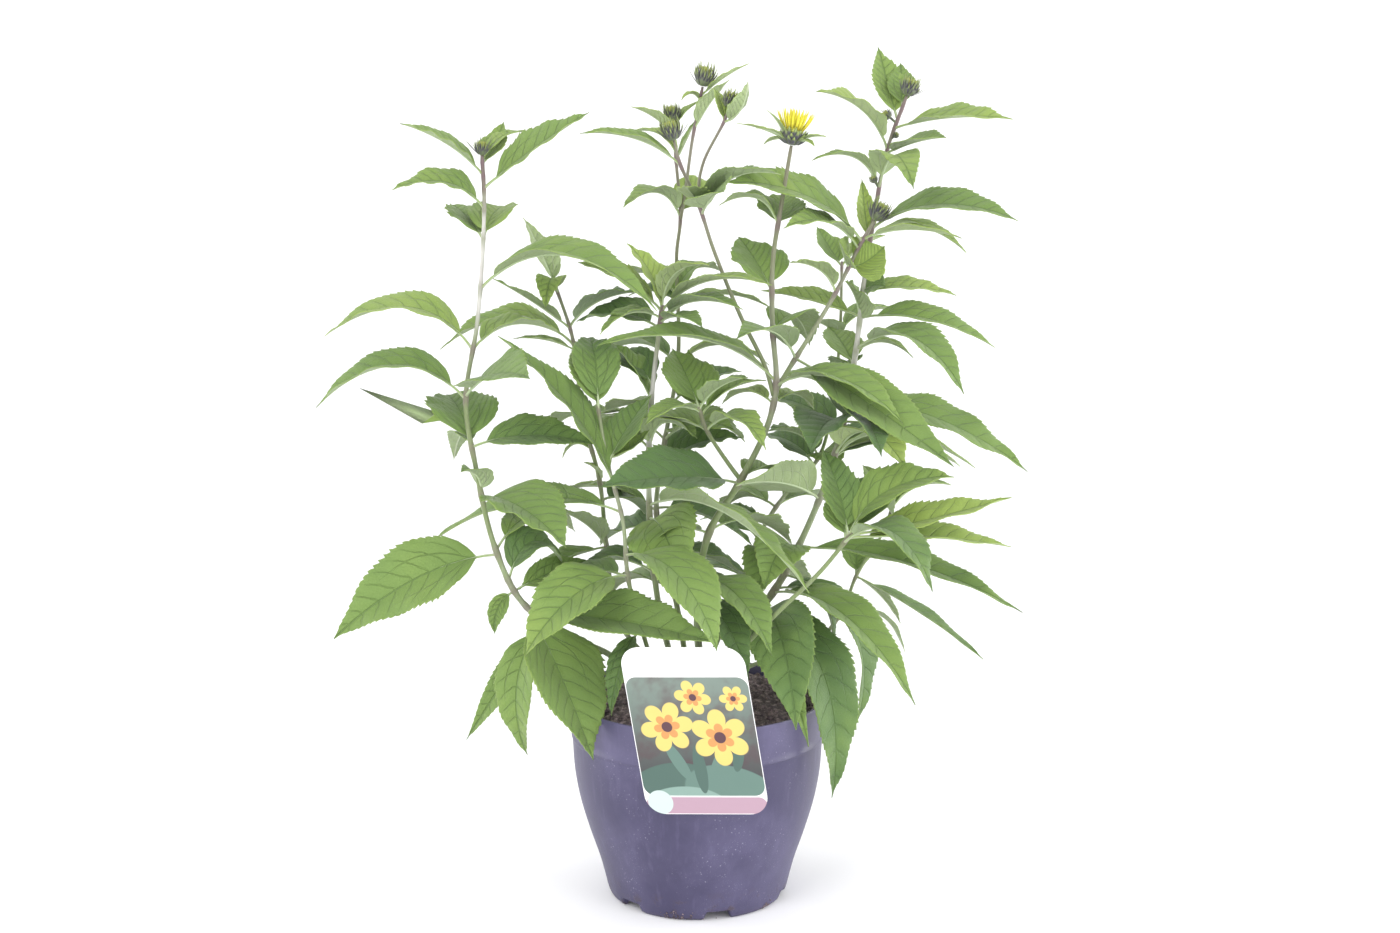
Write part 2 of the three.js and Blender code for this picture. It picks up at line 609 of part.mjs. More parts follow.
/** The filled root ball, with a plain hole for each stem and a slot for the label. */
function soilSolid() {
  const inside = POT_OUTLINE
    .filter(([z]) => z > NOTCH.height + POT.floor && z < SOIL.edge && !POT.seam.includes(z))
    .map(([z, r]) => [r - POT.wall - SOIL.gap, z]);
  const top = inside.at(-1)[0];
  const bed = NOTCH.height + POT.wall;
  const rings = [0.92, 0.5];
  const lathe = new THREE.LatheGeometry([
    [0, bed], [inside[0][0] - 1, bed], ...inside, [top + 1, SOIL.edge],
    ...rings.map((share) => [share * top, SOIL.edge + 1]), [0, SOIL.edge + 1],
  ].map(([r, z]) => new Vector2(r, z)), POT.segments);
  lathe.rotateX(Math.PI / 2);
  const place = lathe.attributes.position;
  for (let i = 0; i < place.count; i += 1) {
    const [x, y] = [place.getX(i), place.getY(i)];
    if (place.getZ(i) > SOIL.edge + 0.5) place.setZ(i, soilHeight(x, y, Math.hypot(x, y) / top));
  }
  let soil = solidOf(lathe);
  for (const axes of Object.values(STEMS)) {
    soil = soil.subtract(stemSolid(axes[0], STEM.holeGap));
  }
  return soil.subtract(tongueSolid(LABEL.tongue.gap));
}

/** A flat card of an outline in x and z, between two depths, leaning sideways with the label. */
function cardSolid(shape, from, depth) {
  const card = new THREE.ExtrudeGeometry(shape, { depth, bevelEnabled: false, curveSegments: 4 });
  card.rotateX(Math.PI / 2);
  card.translate(0, from + depth, 0);
  return card;
}

/** Rounded rectangle from [x0, z0] to [x1, z1]. */
function roundedRect(x0, z0, x1, z1, corner) {
  const shape = new THREE.Shape();
  shape.moveTo(x0 + corner, z0).lineTo(x1 - corner, z0)
    .absarc(x1 - corner, z0 + corner, corner, -Math.PI / 2, 0)
    .lineTo(x1, z1 - corner).absarc(x1 - corner, z1 - corner, corner, 0, Math.PI / 2)
    .lineTo(x0 + corner, z1).absarc(x0 + corner, z1 - corner, corner, Math.PI / 2, Math.PI)
    .lineTo(x0, z0 + corner).absarc(x0 + corner, z0 + corner, corner, Math.PI, 1.5 * Math.PI);
  return shape;
}

/** Slant a label piece sideways from its level fold. */
function leaned(geometry) {
  const slope = Math.tan(radians(LABEL.lean));
  geometry.applyMatrix4(new THREE.Matrix4().set(
    1, 0, -slope, LABEL.centre + slope * LABEL.top, 0, 1, 0, 0, 0, 0, 1, 0, 0, 0, 0, 1,
  ));
  return solidOf(geometry);
}

const PANEL_BACK = -(POT.rim + LABEL.clear);

/** The tongue behind the fold, sloping back and down into the soil, grown by `extra`. */
function tongueSolid(extra = 0) {
  const { width, reach, foot } = LABEL.tongue;
  const half = width / 2 + extra;
  const shape = new THREE.Shape([
    new Vector2(-half, foot - extra - LABEL.top), new Vector2(half, foot - extra - LABEL.top),
    new Vector2(half, 0), new Vector2(-half, 0),
  ]);
  const drop = LABEL.top - foot;
  const tongue = cardSolid(shape, -extra, LABEL.card + 2 * extra);
  tongue.rotateX(Math.atan2(reach, drop));
  tongue.translate(0, PANEL_BACK - LABEL.card, LABEL.top);
  return leaned(tongue);
}

/** The folded plant label: a front panel outside the rim and a tongue inside it. */
function labelSolid() {
  const { width, height, corner, card, top } = LABEL;
  const panel = cardSolid(
    roundedRect(-width / 2, top - height, width / 2, top, corner), PANEL_BACK - card, card);
  return union([leaned(panel), tongueSolid()]);
}

// ---------------------------------------------------------------- assembly
const plant = new THREE.Group();
plant.add(meshOf("pot", geometryOf(potSolid()), COLOUR.pot));
plant.add(meshOf("soil", geometryOf(soilSolid()), COLOUR.soil, 0.95));
plant.add(meshOf("label", geometryOf(labelSolid()), COLOUR.label, 0.4));
for (const [name, axes] of Object.entries(STEMS)) {
  plant.add(meshOf(name, geometryOf(union(axes.flatMap(axisSolids))), COLOUR.leaf));
}
for (const [name, [stem, axis, radius, bracts]] of Object.entries(BUDS)) {
  plant.add(seatHead(meshOf(name, geometryOf(budSolid(radius, bracts)), COLOUR.bud), stem, axis));
}
for (const [name, solid, color] of [
  ["bloom_cup", bloomCupSolid(), COLOUR.bud],
  ["bloom_rays", bloomRaySolid(), COLOUR.ray],
]) {
  plant.add(seatHead(meshOf(name, geometryOf(solid), color), BLOOM.stem, BLOOM.axis));
}

export default plant;
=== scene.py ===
"""Finishes a perennial sunflower in its nursery pot for a close view.

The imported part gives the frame. Ten leafy stems with serrated, veined leaves, eight closed buds
and one opening bloom stand in a turned plastic pot of loose potting soil, with a folded plant
label over the rim. Twelve inner leaves and three small side buds are in the scene alone. Sizes
are millimetres until a mesh is finished, and metres after that.
"""
import logging
import math
import random
from collections.abc import Iterable, Sequence
from dataclasses import dataclass, field
from enum import Enum

import bmesh
import bpy
import numpy as np
from mathutils import Matrix, Vector, noise


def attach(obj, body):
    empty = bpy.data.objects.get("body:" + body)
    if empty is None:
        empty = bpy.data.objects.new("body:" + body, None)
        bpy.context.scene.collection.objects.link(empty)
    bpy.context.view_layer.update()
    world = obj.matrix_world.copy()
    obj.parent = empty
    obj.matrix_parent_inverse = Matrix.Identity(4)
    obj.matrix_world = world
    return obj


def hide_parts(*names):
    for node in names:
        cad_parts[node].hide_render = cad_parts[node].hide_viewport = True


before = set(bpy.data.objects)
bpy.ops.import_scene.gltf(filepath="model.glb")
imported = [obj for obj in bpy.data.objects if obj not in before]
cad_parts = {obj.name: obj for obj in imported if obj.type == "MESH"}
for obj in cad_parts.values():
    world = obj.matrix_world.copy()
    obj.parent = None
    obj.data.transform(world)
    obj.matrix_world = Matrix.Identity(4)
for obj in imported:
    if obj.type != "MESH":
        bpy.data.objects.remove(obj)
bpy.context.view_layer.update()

LOG = logging.getLogger("sunflower")
MM = 0.001
Colour = tuple[float, float, float]
Point = tuple[float, float, float]
Row = tuple[float, ...]
Profile = tuple[tuple[float, float], ...]
Faces = list[bmesh.types.BMFace]
Verts = Iterable[bmesh.types.BMVert]
UP = (0.0, 0.0, 1.0)
MERGE = 1e-4  # corners closer than this become one
CLEAR_TINT = (0.0, 0.0, 0.0, 1.0)
EVEN = (1.0, 1.0, 1.0)  # a pattern that is not stretched

# what the leaves' shape and their finish share
SIDE_VEINS = 8.5  # pairs along a blade
VEIN_LEAD = 0.6  # how far a side vein runs forward for its way out
VEIN_CURVE = 0.022  # how much more it does so near the edge
TINT_HALF = 40.0  # half width that a full tint number stands for
TINT_BLADE = 200.0  # blade length that a full tint number stands for


# ------------------------------------------------------------------ the plant's layout
@dataclass(frozen=True)
class Axis:
    """One stem or branch.

    Attributes:
        line: Points from foot to top.
        radius: Radius at the foot and at the top.
        leaves: One row a leaf: height on the axis, tip x, y, z, width, arch and roll.
    """

    line: tuple[Point, ...]
    radius: tuple[float, float]
    leaves: tuple[Row, ...]


STEMS: dict[str, tuple[Axis, ...]] = {
    "stem_far_left": (
        Axis(line=(
            (-35, -5, 130), (-36, -5, 162), (-66, -14, 191), (-100, -24, 210),
            (-132, -31, 238), (-151, -31, 280), (-164, -24, 336), (-172, -14, 385),
            (-163, -4, 446), (-157, 0, 530), (-158, 0, 566),
        ), radius=(2.6, 1.3), leaves=(
            (232, -76, -84, 131, 74, 4, 0), (220, -127, -50, 124, 36, 26, 0),
            (222, -176, -20, 126, 22, 0, 70), (245, -151, -38, 214, 16, 6, 60),
            (245, -81, 10, 259, 26, 3, -40), (253, -100, -1, 255, 34, 26, -20),
            (273, -267, -60, 216, 58, 12, 48), (276, -97, 70, 269, 36, 20, 0),
            (316, -93, -95, 292, 64, 9, -8), (318, -173, -45, 338, 28, 8, 0),
            (352, -193, 40, 383, 60, 8, 0), (352, -75, -26, 355, 40, 8, -28),
            (350, -191, 60, 328, 22, 16, 0), (387, -283, -15, 381, 42, 28, 15),
            (389, -116, -108, 415, 54, 10, -25), (423, -277, -5, 433, 44, 27, 15),
            (423, -104, 28, 431, 40, 14, 0), (468, -29, -47, 456, 48, 32, -10),
            (504, -189, 61, 527, 38, 4, 0), (504, -146, 60, 525, 40, 8, 0),
            (527, -223, -10, 541, 36, 13, 22), (542, -78, -18, 597, 42, 2, -34),
            (551, -216, -12, 589, 32, 6, 10), (560, -145, 36, 590, 24, -3, 0),
            (562, -126, 45, 582, 16, 8, 0), (226, 15, -99, 223, 56, 5, -22),
        )),
    ),
    "stem_thin_left": (
        Axis(line=(
            (-25, -28, 130), (-26, -29, 162), (-39, -38, 209), (-51, -44, 257),
            (-55, -38, 300), (-66, -26, 340), (-74, -16, 383),
        ), radius=(1.9, 1.2), leaves=(
            (321, -147, -19, 435, 48, 11, 10), (340, -34, 6, 388, 40, 3, 0),
            (345, -36, -7, 363, 26, -4, 0), (380, -83, 40, 427, 40, 15, 0),
            (306, -209, 45, 265, 34, 20, 20), (260, -123, -100, 214, 54, 14, 22),
            (275, 14, -113, 221, 58, 22, 0), (218, -63, -72, 161, 22, 10, 0),
            (378, -95, 25, 420, 36, 8, 0), (258, -112, -12, 242, 40, 10, 0),
        )),
    ),
    "stem_left_back": (
        Axis(line=(
            (-29, 22, 130), (-31, 22, 164), (-62, 35, 206), (-71, 40, 265), (-76, 42, 316),
            (-89, 46, 366), (-96, 50, 425), (-111, 50, 472), (-116, 50, 490),
        ), radius=(2.2, 1.1), leaves=(
            (464, -131, 28, 519, 30, 2, 0), (460, -114, 15, 452, 24, 16, 0),
            (433, -154, 20, 474, 26, 2, 0), (434, -44, 40, 462, 46, 8, 0),
            (420, -197, 40, 418, 40, 22, 10), (416, -142, 52, 425, 16, 4, 0),
            (339, -105, 50, 332, 12, 8, 0), (314, -88, 40, 330, 18, 4, 0),
            (263, -137, 15, 235, 34, 6, 0), (263, -109, -5, 302, 36, 6, 0),
            (316, -114, 60, 301, 16, 0, 0), (366, -111, 60, 354, 36, 4, 0),
            (366, -52, 78, 366, 34, 0, 0),
        )),
    ),
    "stem_pale_middle": (
        Axis(line=(
            (-15, 0, 130), (-16, 0, 164), (-29, 5, 221), (-36, 10, 285), (-36, 10, 364),
            (-31, 10, 417), (-26, 10, 455),
        ), radius=(2.6, 1.6), leaves=(
            (250, 42, 22, 236, 46, 18, 0), (250, -104, 13, 232, 44, 18, 0),
            (346, -98, 22, 346, 42, 14, 0), (450, -53, 23, 500, 34, 6, 0),
            (450, -88, -8, 488, 40, 6, 20), (452, 9, -22, 487, 28, 14, 0),
            (450, 54, -39, 474, 30, 14, 0), (445, 33, -35, 456, 32, 10, 0),
            (445, -72, -10, 435, 28, 10, 0), (442, 4, -45, 444, 26, 6, 0),
            (440, 59, 40, 448, 22, 18, 0), (382, -65, 22, 425, 38, 4, 0),
            (382, -72, 45, 369, 36, 2, 0), (344, 0, -4, 356, 44, 18, 0),
            (292, -11, -71, 257, 62, 12, -30), (302, 78, -132, 268, 46, 25, 25),
        )),
    ),
    "stem_middle_back": (
        Axis(line=(
            (-7, 28, 130), (-8, 29, 164), (-17, 40, 221), (-32, 50, 287), (-28, 55, 329),
            (-15, 60, 410), (-16, 60, 489), (-13, 60, 517), (-16, 60, 557), (-19, 60, 590),
        ), radius=(2.4, 1.1), leaves=(
            (517, -56, 40, 526, 40, 16, 0), (517, 19, 90, 539, 34, 10, -25),
            (578, -50, 50, 601, 26, 4, 0), (561, 0, 62, 593, 16, 0, 0),
            (582, 4, 70, 606, 16, 4, 0), (455, 19, 85, 474, 36, 14, 0),
            (404, 56, 60, 403, 32, 16, 0), (404, -82, 92, 402, 38, 16, 0),
            (455, -62, 95, 468, 36, 12, 0), (345, -92, 88, 340, 42, 16, 0),
            (345, 38, 88, 338, 42, 16, 0), (226, -78, 78, 205, 46, 18, 0),
            (226, 44, 57, 200, 44, 18, 0), (289, -111, 85, 298, 20, 12, 0),
            (345, 28, -10, 363, 40, 10, -25),
        )),
        Axis(line=(
            (-13, 60, 515), (-9, 55, 539), (-4, 55, 575), (2, 55, 606), (4, 55, 616),
        ), radius=(1.3, 1.1), leaves=(
            (584, 24, 45, 621, 28, 2, 0), (609, 39, 51, 633, 16, 2, 0),
            (606, -12, 48, 606, 10, 5, 0),
        )),
    ),
    "stem_main": (
        Axis(line=(
            (4, -14, 130), (4, -14, 166), (0, -12, 218), (8, -10, 283), (33, -5, 325),
            (53, 0, 366), (59, 0, 396), (56, 0, 440), (56, 0, 489), (62, 0, 530), (69, 0, 573),
        ), radius=(3.2, 1.4), leaves=(
            (515, 66, 45, 537, 40, -1, -5), (515, 16, 8, 529, 32, 14, 0),
            (466, 31, 38, 504, 52, 2, 0), (434, 86, 40, 421, 42, 18, 0),
            (398, -72, -45, 431, 40, 20, 10), (395, 147, -72, 378, 40, 19, -5),
            (381, 19, 32, 377, 24, 10, 0), (381, 90, 45, 371, 24, 10, 0),
            (322, -70, -80, 333, 58, 6, 28), (326, 64, 20, 325, 36, 6, 0),
            (286, 74, 49, 263, 46, 14, 0), (284, -40, -25, 277, 44, 9, 0),
            (249, 54, -85, 210, 42, 16, 0), (233, 37, -94, 195, 34, 14, 0),
        )),
        Axis(line=(
            (57, 0, 388), (51, 0, 409), (32, 0, 448), (12, 0, 497), (1, 0, 530),
            (-13, -8, 561), (-17, -10, 577),
        ), radius=(1.7, 1.1), leaves=(
            (523, 61, -33, 553, 36, 14, 0), (523, 19, -62, 542, 42, 5, -25),
            (529, -9, -40, 545, 26, 2, 0), (558, -85, -20, 582, 26, 9, 10),
            (561, -53, 20, 581, 16, 12, 0),
        )),
        Axis(line=(
            (2, 0, 526), (1, 4, 544), (5, 5, 562), (20, 5, 591), (23, 5, 600),
        ), radius=(1.2, 1.0), leaves=(
            (590, 12, 14, 615, 12, 2, 0), (590, 37, -5, 619, 28, -6, 0),
        )),
        Axis(line=(
            (33, -5, 324), (23, -8, 338), (6, -15, 366), (1, -18, 382),
        ), radius=(1.8, 1.2), leaves=(
            (380, -19, 20, 421, 50, 2, 0), (380, -7, 25, 420, 40, -6, 0),
            (380, 37, -40, 407, 34, 6, 0), (378, -38, -47, 373, 32, 8, 0),
            (375, 52, 10, 398, 20, 8, 0), (364, 50, -50, 355, 36, 16, 0),
            (364, -43, 5, 366, 40, 6, 0),
        )),
        Axis(line=(
            (59, 0, 392), (69, 5, 408), (86, 12, 434), (104, 20, 463), (121, 26, 496),
            (133, 28, 517),
        ), radius=(1.9, 1.2), leaves=(
            (415, 28, -67, 438, 36, 14, 0), (415, 181, -97, 351, 52, 3, -17),
            (463, 69, 5, 487, 30, 8, 0), (482, 141, 25, 498, 46, -3, -60),
            (482, 105, 8, 504, 38, 0, 60), (501, 18, -25, 547, 46, 15, 35),
            (496, 62, -42, 515, 30, 13, 20), (503, 194, -11, 506, 26, 7, 0),
        )),
    ),
    "stem_right": (
        Axis(line=(
            (19, 10, 130), (20, 10, 164), (34, 16, 195), (66, 28, 242), (95, 35, 304),
            (112, 40, 359), (122, 40, 421), (127, 40, 471), (134, 40, 520), (143, 40, 569),
            (157, 40, 609),
        ), radius=(3.0, 1.2), leaves=(
            (302, 28, -48, 328, 52, 8, -35), (302, 158, 90, 276, 46, 18, 0),
            (404, 110, 70, 397, 30, 6, 0), (264, 241, -45, 232, 38, 13, -12),
            (230, 158, -89, 174, 48, 24, 0), (218, 101, -49, 90, 54, 42, 0),
            (216, 72, -87, 155, 58, 27, -15), (202, 81, -86, 142, 24, 20, 0),
            (244, 122, 2, 130, 44, 34, 0), (233, 105, 20, 192, 42, 18, 0),
            (246, 44, -28, 237, 46, 22, 0), (360, 130, -95, 358, 56, 21, 10),
            (358, 81, -75, 358, 56, 12, 0), (362, 218, 60, 322, 30, 8, 0),
            (377, 249, 0, 330, 44, 13, -18), (418, 195, -36, 394, 44, 25, -5),
            (416, 165, 35, 412, 22, 10, 0), (404, 103, 90, 430, 34, 4, 0),
            (442, 226, 27, 421, 38, 10, -18), (437, 112, 30, 471, 44, 5, 30),
            (443, 49, 51, 462, 34, 3, 15), (462, 198, 44, 459, 30, 5, -15),
            (462, 143, 35, 466, 42, 3, -30), (510, 234, -16, 519, 44, 15, -22),
            (503, 202, 22, 493, 30, 14, 0), (500, 125, 50, 547, 20, -2, 0),
            (540, 155, -40, 543, 36, 24, 0), (539, 85, 10, 562, 18, 15, 0),
            (566, 181, -12, 579, 34, 3, -15), (569, 87, 0, 612, 38, 12, 20),
            (585, 229, -12, 592, 36, 5, -15), (591, 138, 78, 646, 30, 0, 0),
            (600, 155, 72, 634, 24, 0, 0), (335, 155, -22, 335, 54, 24, 0),
            (333, 171, 36, 345, 28, 14, 0), (337, 210, 90, 318, 24, 16, 0),
            (262, 50, -35, 247, 44, 16, 20),
        )),
    ),
    "stem_low_right": (
        Axis(line=(
            (11, -38, 130), (12, -38, 166), (33, -50, 205), (61, -60, 238), (90, -64, 268),
            (113, -60, 296),
        ), radius=(2.2, 1.5), leaves=(
            (294, 228, -61, 322, 40, -2, -15), (292, 229, -60, 285, 42, 4, -10),
            (293, 186, -61, 337, 46, 15, -25), (292, 92, -31, 353, 40, 5, 0),
            (294, 140, -15, 336, 48, 0, 0), (290, 104, -30, 325, 32, 2, 0),
            (288, 165, -120, 266, 42, 26, 0),
        )),
    ),
    "stem_thin_right": (
        Axis(line=(
            (30, 45, 130), (32, 46, 158), (60, 62, 168), (96, 76, 178), (116, 82, 200),
            (128, 86, 230), (147, 90, 260), (157, 92, 286),
        ), radius=(1.8, 1.1), leaves=(
            (229, 228, 60, 167, 26, 4, 0), (229, 166, 105, 185, 18, 4, 0),
            (229, 131, 120, 258, 26, 2, 0), (192, 171, 115, 158, 14, 20, 0),
            (282, 205, 105, 300, 30, 10, 0), (283, 135, 130, 312, 28, 4, 0),
        )),
    ),
    "stem_back_right": (
        Axis(line=(
            (8, 55, 130), (9, 55, 162), (30, 68, 214), (50, 78, 266), (72, 88, 298),
            (97, 96, 324), (109, 104, 370), (114, 110, 425), (115, 112, 480),
        ), radius=(2.0, 1.1), leaves=(
            (232, -14, 92, 205, 46, 18, 0), (232, 90, 112, 205, 44, 18, 0),
            (286, 14, 100, 268, 44, 16, 0), (286, 122, 132, 264, 42, 16, 0),
            (370, 62, 112, 382, 38, 12, 0), (370, 160, 132, 366, 38, 14, 0),
            (324, 54, 60, 351, 36, 10, 0), (418, 88, 90, 435, 34, 4, 0),
            (424, 160, 125, 440, 34, 8, 0), (476, 96, 135, 506, 30, -1, 0),
            (476, 150, 120, 500, 30, 4, 0), (324, 110, 60, 321, 36, 8, -20),
        )),
    ),
}


# closed buds: name, stem, axis, radius, bracts and how far the needles reach
BUDS: tuple[tuple[str, str, int, float, int, float], ...] = (
    ("bud_far_left", "stem_far_left", 0, 4.5, 11, 1.8),
    ("bud_left", "stem_left_back", 0, 4.0, 10, 1.7),
    ("bud_side_middle", "stem_middle_back", 0, 5.5, 12, 1.0),
    ("bud_top_middle", "stem_middle_back", 1, 7.0, 14, 1.0),
    ("bud_front_middle", "stem_main", 1, 6.5, 14, 1.0),
    ("bud_branch_middle", "stem_main", 2, 5.5, 12, 1.0),
    ("bud_low_right", "stem_main", 4, 6.5, 14, 1.0),
    ("bud_top_right", "stem_right", 0, 6.0, 13, 1.0),
)

# small buds in leaf corners of the tall right stem: name, radius, height, stalk and lean
SIDE_BUDS: tuple[tuple[str, float, float, float, Point], ...] = (
    ("side_bud_upper", 3.2, 589.0, 6.5, (-0.75, -0.25, 0.62)),
    ("side_bud_lower", 2.6, 540.0, 6.0, (-0.5, -0.3, 0.85)),
    ("side_bud_right", 2.0, 576.0, 4.0, (0.7, -0.3, 0.7)),
)

# leaves clearly older (nought) or younger (one) than their height tells: by stem, then by
# axis and number on it
AGES: dict[str, dict[str, float]] = {
    "stem_far_left": {"0/0": 0.5, "0/1": 0.55, "0/6": 0.45, "0/25": 0.4},
    "stem_thin_left": {"0/3": 0.3, "0/5": 0.6, "0/6": 0.5},
    "stem_left_back": {"0/3": 0.0},
    "stem_pale_middle": {"0/3": 0.95, "0/4": 0.8, "0/5": 0.95},
    "stem_main": {"0/8": 0.0, "0/12": 0.4, "3/0": 0.5, "3/1": 0.6, "4/3": 0.8, "4/4": 0.7,
                  "4/5": 0.6},
    "stem_right": {"0/11": 0.05, "0/12": 0.05, "0/33": 1.0},
    "stem_low_right": {"0/0": 0.9, "0/1": 0.85, "0/2": 0.6, "0/3": 0.25, "0/4": 0.2},
}

# small leaves deep inside the plant, in the scene alone, on each stem's own axis
INNER_AGE = 0.15
INNER_LEAVES: dict[str, tuple[Row, ...]] = {
    "stem_pale_middle": ((437, -92, 34, 440, 46, 9, 14), (392, -67, 48, 415, 36, 8, 10)),
    "stem_middle_back": (
        (322, 35, 72, 344, 46, 9, -14), (292, 43, 66, 259, 46, 9, -16),
        (452, -54, 84, 455, 34, 7, 12), (372, 35, 92, 394, 38, 8, -12),
        (275, -78, 78, 256, 40, 8, 14),
    ),
    "stem_right": ((334, 166, 84, 336, 46, 8, -14), (352, 58, 96, 372, 36, 8, 12)),
    "stem_back_right": ((318, 52, 122, 338, 42, 8, 12), (262, 2, 112, 270, 40, 9, 14)),
    "stem_left_back": ((300, -39, 72, 278, 40, 9, -14),),
}

# heights between which a bare stem is sunlit and is painted nearly white, a painted highlight
SUNLIT_HIGHLIGHT_SPANS: dict[str, tuple[float, float]] = {
    "stem_far_left": (425.0, 545.0), "stem_pale_middle": (300.0, 430.0),
    "stem_right": (370.0, 490.0),
}


# ------------------------------------------------------------------ lines and meshes
def unit(rows: np.ndarray) -> np.ndarray:
    """Rows scaled to length one."""
    return rows / np.maximum(np.linalg.norm(rows, axis=-1, keepdims=True), 1e-9)


def columns(*values: np.ndarray | float) -> np.ndarray:
    """Values side by side, one column each; a plain number fills its column."""
    return np.stack(np.broadcast_arrays(*values), axis=-1)


def ramp(values: np.ndarray | float, low: float, high: float) -> np.ndarray:
    """How far values are on their way from one level to another, kept within nought and one."""
    return np.clip((values - low) / (high - low), 0, 1)


def ray(turn: float) -> Vector:
    """The level direction at an angle round the upright axis."""
    return Vector((math.cos(turn), math.sin(turn), 0))


def raised(place: Vector, up: float) -> Vector:
    """A place moved upwards."""
    return place + Vector((0, 0, up))


def lift_matrix(place: Vector, way: Vector) -> Matrix:
    """The move from an upright frame to one at a place that points another way."""
    turn = Vector(UP).rotation_difference(way).to_matrix().to_4x4()
    return Matrix.Translation(place) @ turn


class Track:
    """Points along a line, read off at distances from its start."""

    def __init__(self, points: np.ndarray) -> None:
        """Measures the line.

        Args:
            points: One point a row.
        """
        self.points = points
        steps = np.linalg.norm(np.diff(points, axis=0), axis=1)
        self.reach = np.concatenate([[0.0], np.cumsum(steps)])
        self.length = float(self.reach[-1])

    def read(self, distances: np.ndarray, rows: np.ndarray | None = None) -> np.ndarray:
        """The points, or other rows kept for them, at some distances."""
        rows = self.points if rows is None else rows
        return columns(*(np.interp(distances, self.reach, column) for column in rows.T))


class SmoothLine(Track):
    """A centripetal Catmull-Rom line through given points."""

    FINENESS = 24  # samples between two neighbouring points

    def __init__(self, points: Sequence[Sequence[float]]) -> None:
        """Samples the line through these points.

        Args:
            points: The points that the line passes through.
        """
        knots = np.array(points, float)
        knots = np.vstack([2 * knots[0] - knots[1], knots, 2 * knots[-1] - knots[-2]])
        rows = [knots[1]]
        for k in range(len(knots) - 3):
            p0, p1, p2, p3 = knots[k:k + 4]
            d0, d1, d2 = (max(float(np.linalg.norm(b - a)) ** 0.5, 1e-4)
                          for a, b in ((p0, p1), (p1, p2), (p2, p3)))
            t1 = ((p1 - p0) / d0 - (p2 - p0) / (d0 + d1) + (p2 - p1) / d1) * d1
            t2 = ((p2 - p1) / d1 - (p3 - p1) / (d1 + d2) + (p3 - p2) / d2) * d1
            for s in np.linspace(0, 1, self.FINENESS + 1)[1:]:
                rows.append(p1 + t1 * s + (-3 * p1 + 3 * p2 - 2 * t1 - t2) * s ** 2
                            + (2 * p1 - 2 * p2 + t1 + t2) * s ** 3)
        super().__init__(np.array(rows))

    def at(self, shares: np.ndarray) -> np.ndarray:
        """Points at shares of the length."""
        return self.read(np.clip(shares, 0, 1) * self.length)

    def share_at_height(self, height: float) -> float:
        """Share of the length at which the line first reaches a height.

        Args:
            height: Height, in millimetres.

        Returns:
            The share.
        """
        above = np.nonzero(self.points[:, 2] >= height)[0]
        k = max(1, int(above[0]) if len(above) else len(self.points) - 1)
        low, high = self.points[k - 1, 2], self.points[k, 2]
        part = min(1.0, max(0.0, (height - low) / max(high - low, 1e-6)))
        return (self.reach[k - 1] + part * (self.reach[k] - self.reach[k - 1])) / self.length

    def at_height(self, height: float) -> np.ndarray:
        """The point at which the line first reaches a height."""
        return self.at(np.array([self.share_at_height(height)]))[0]

    def end_direction(self) -> Vector:
        """Unit direction in which the line ends."""
        return Vector(self.points[-1] - self.points[-2]).normalized()


def add_object(name: str, data: bpy.types.ID) -> bpy.types.Object:
    """Puts a new object into the scene.

    Args:
        name: Name of the object.
        data: What the object shows.

    Returns:
        The object.
    """
    made = bpy.data.objects.new(name, data)
    bpy.context.scene.collection.objects.link(made)
    return made


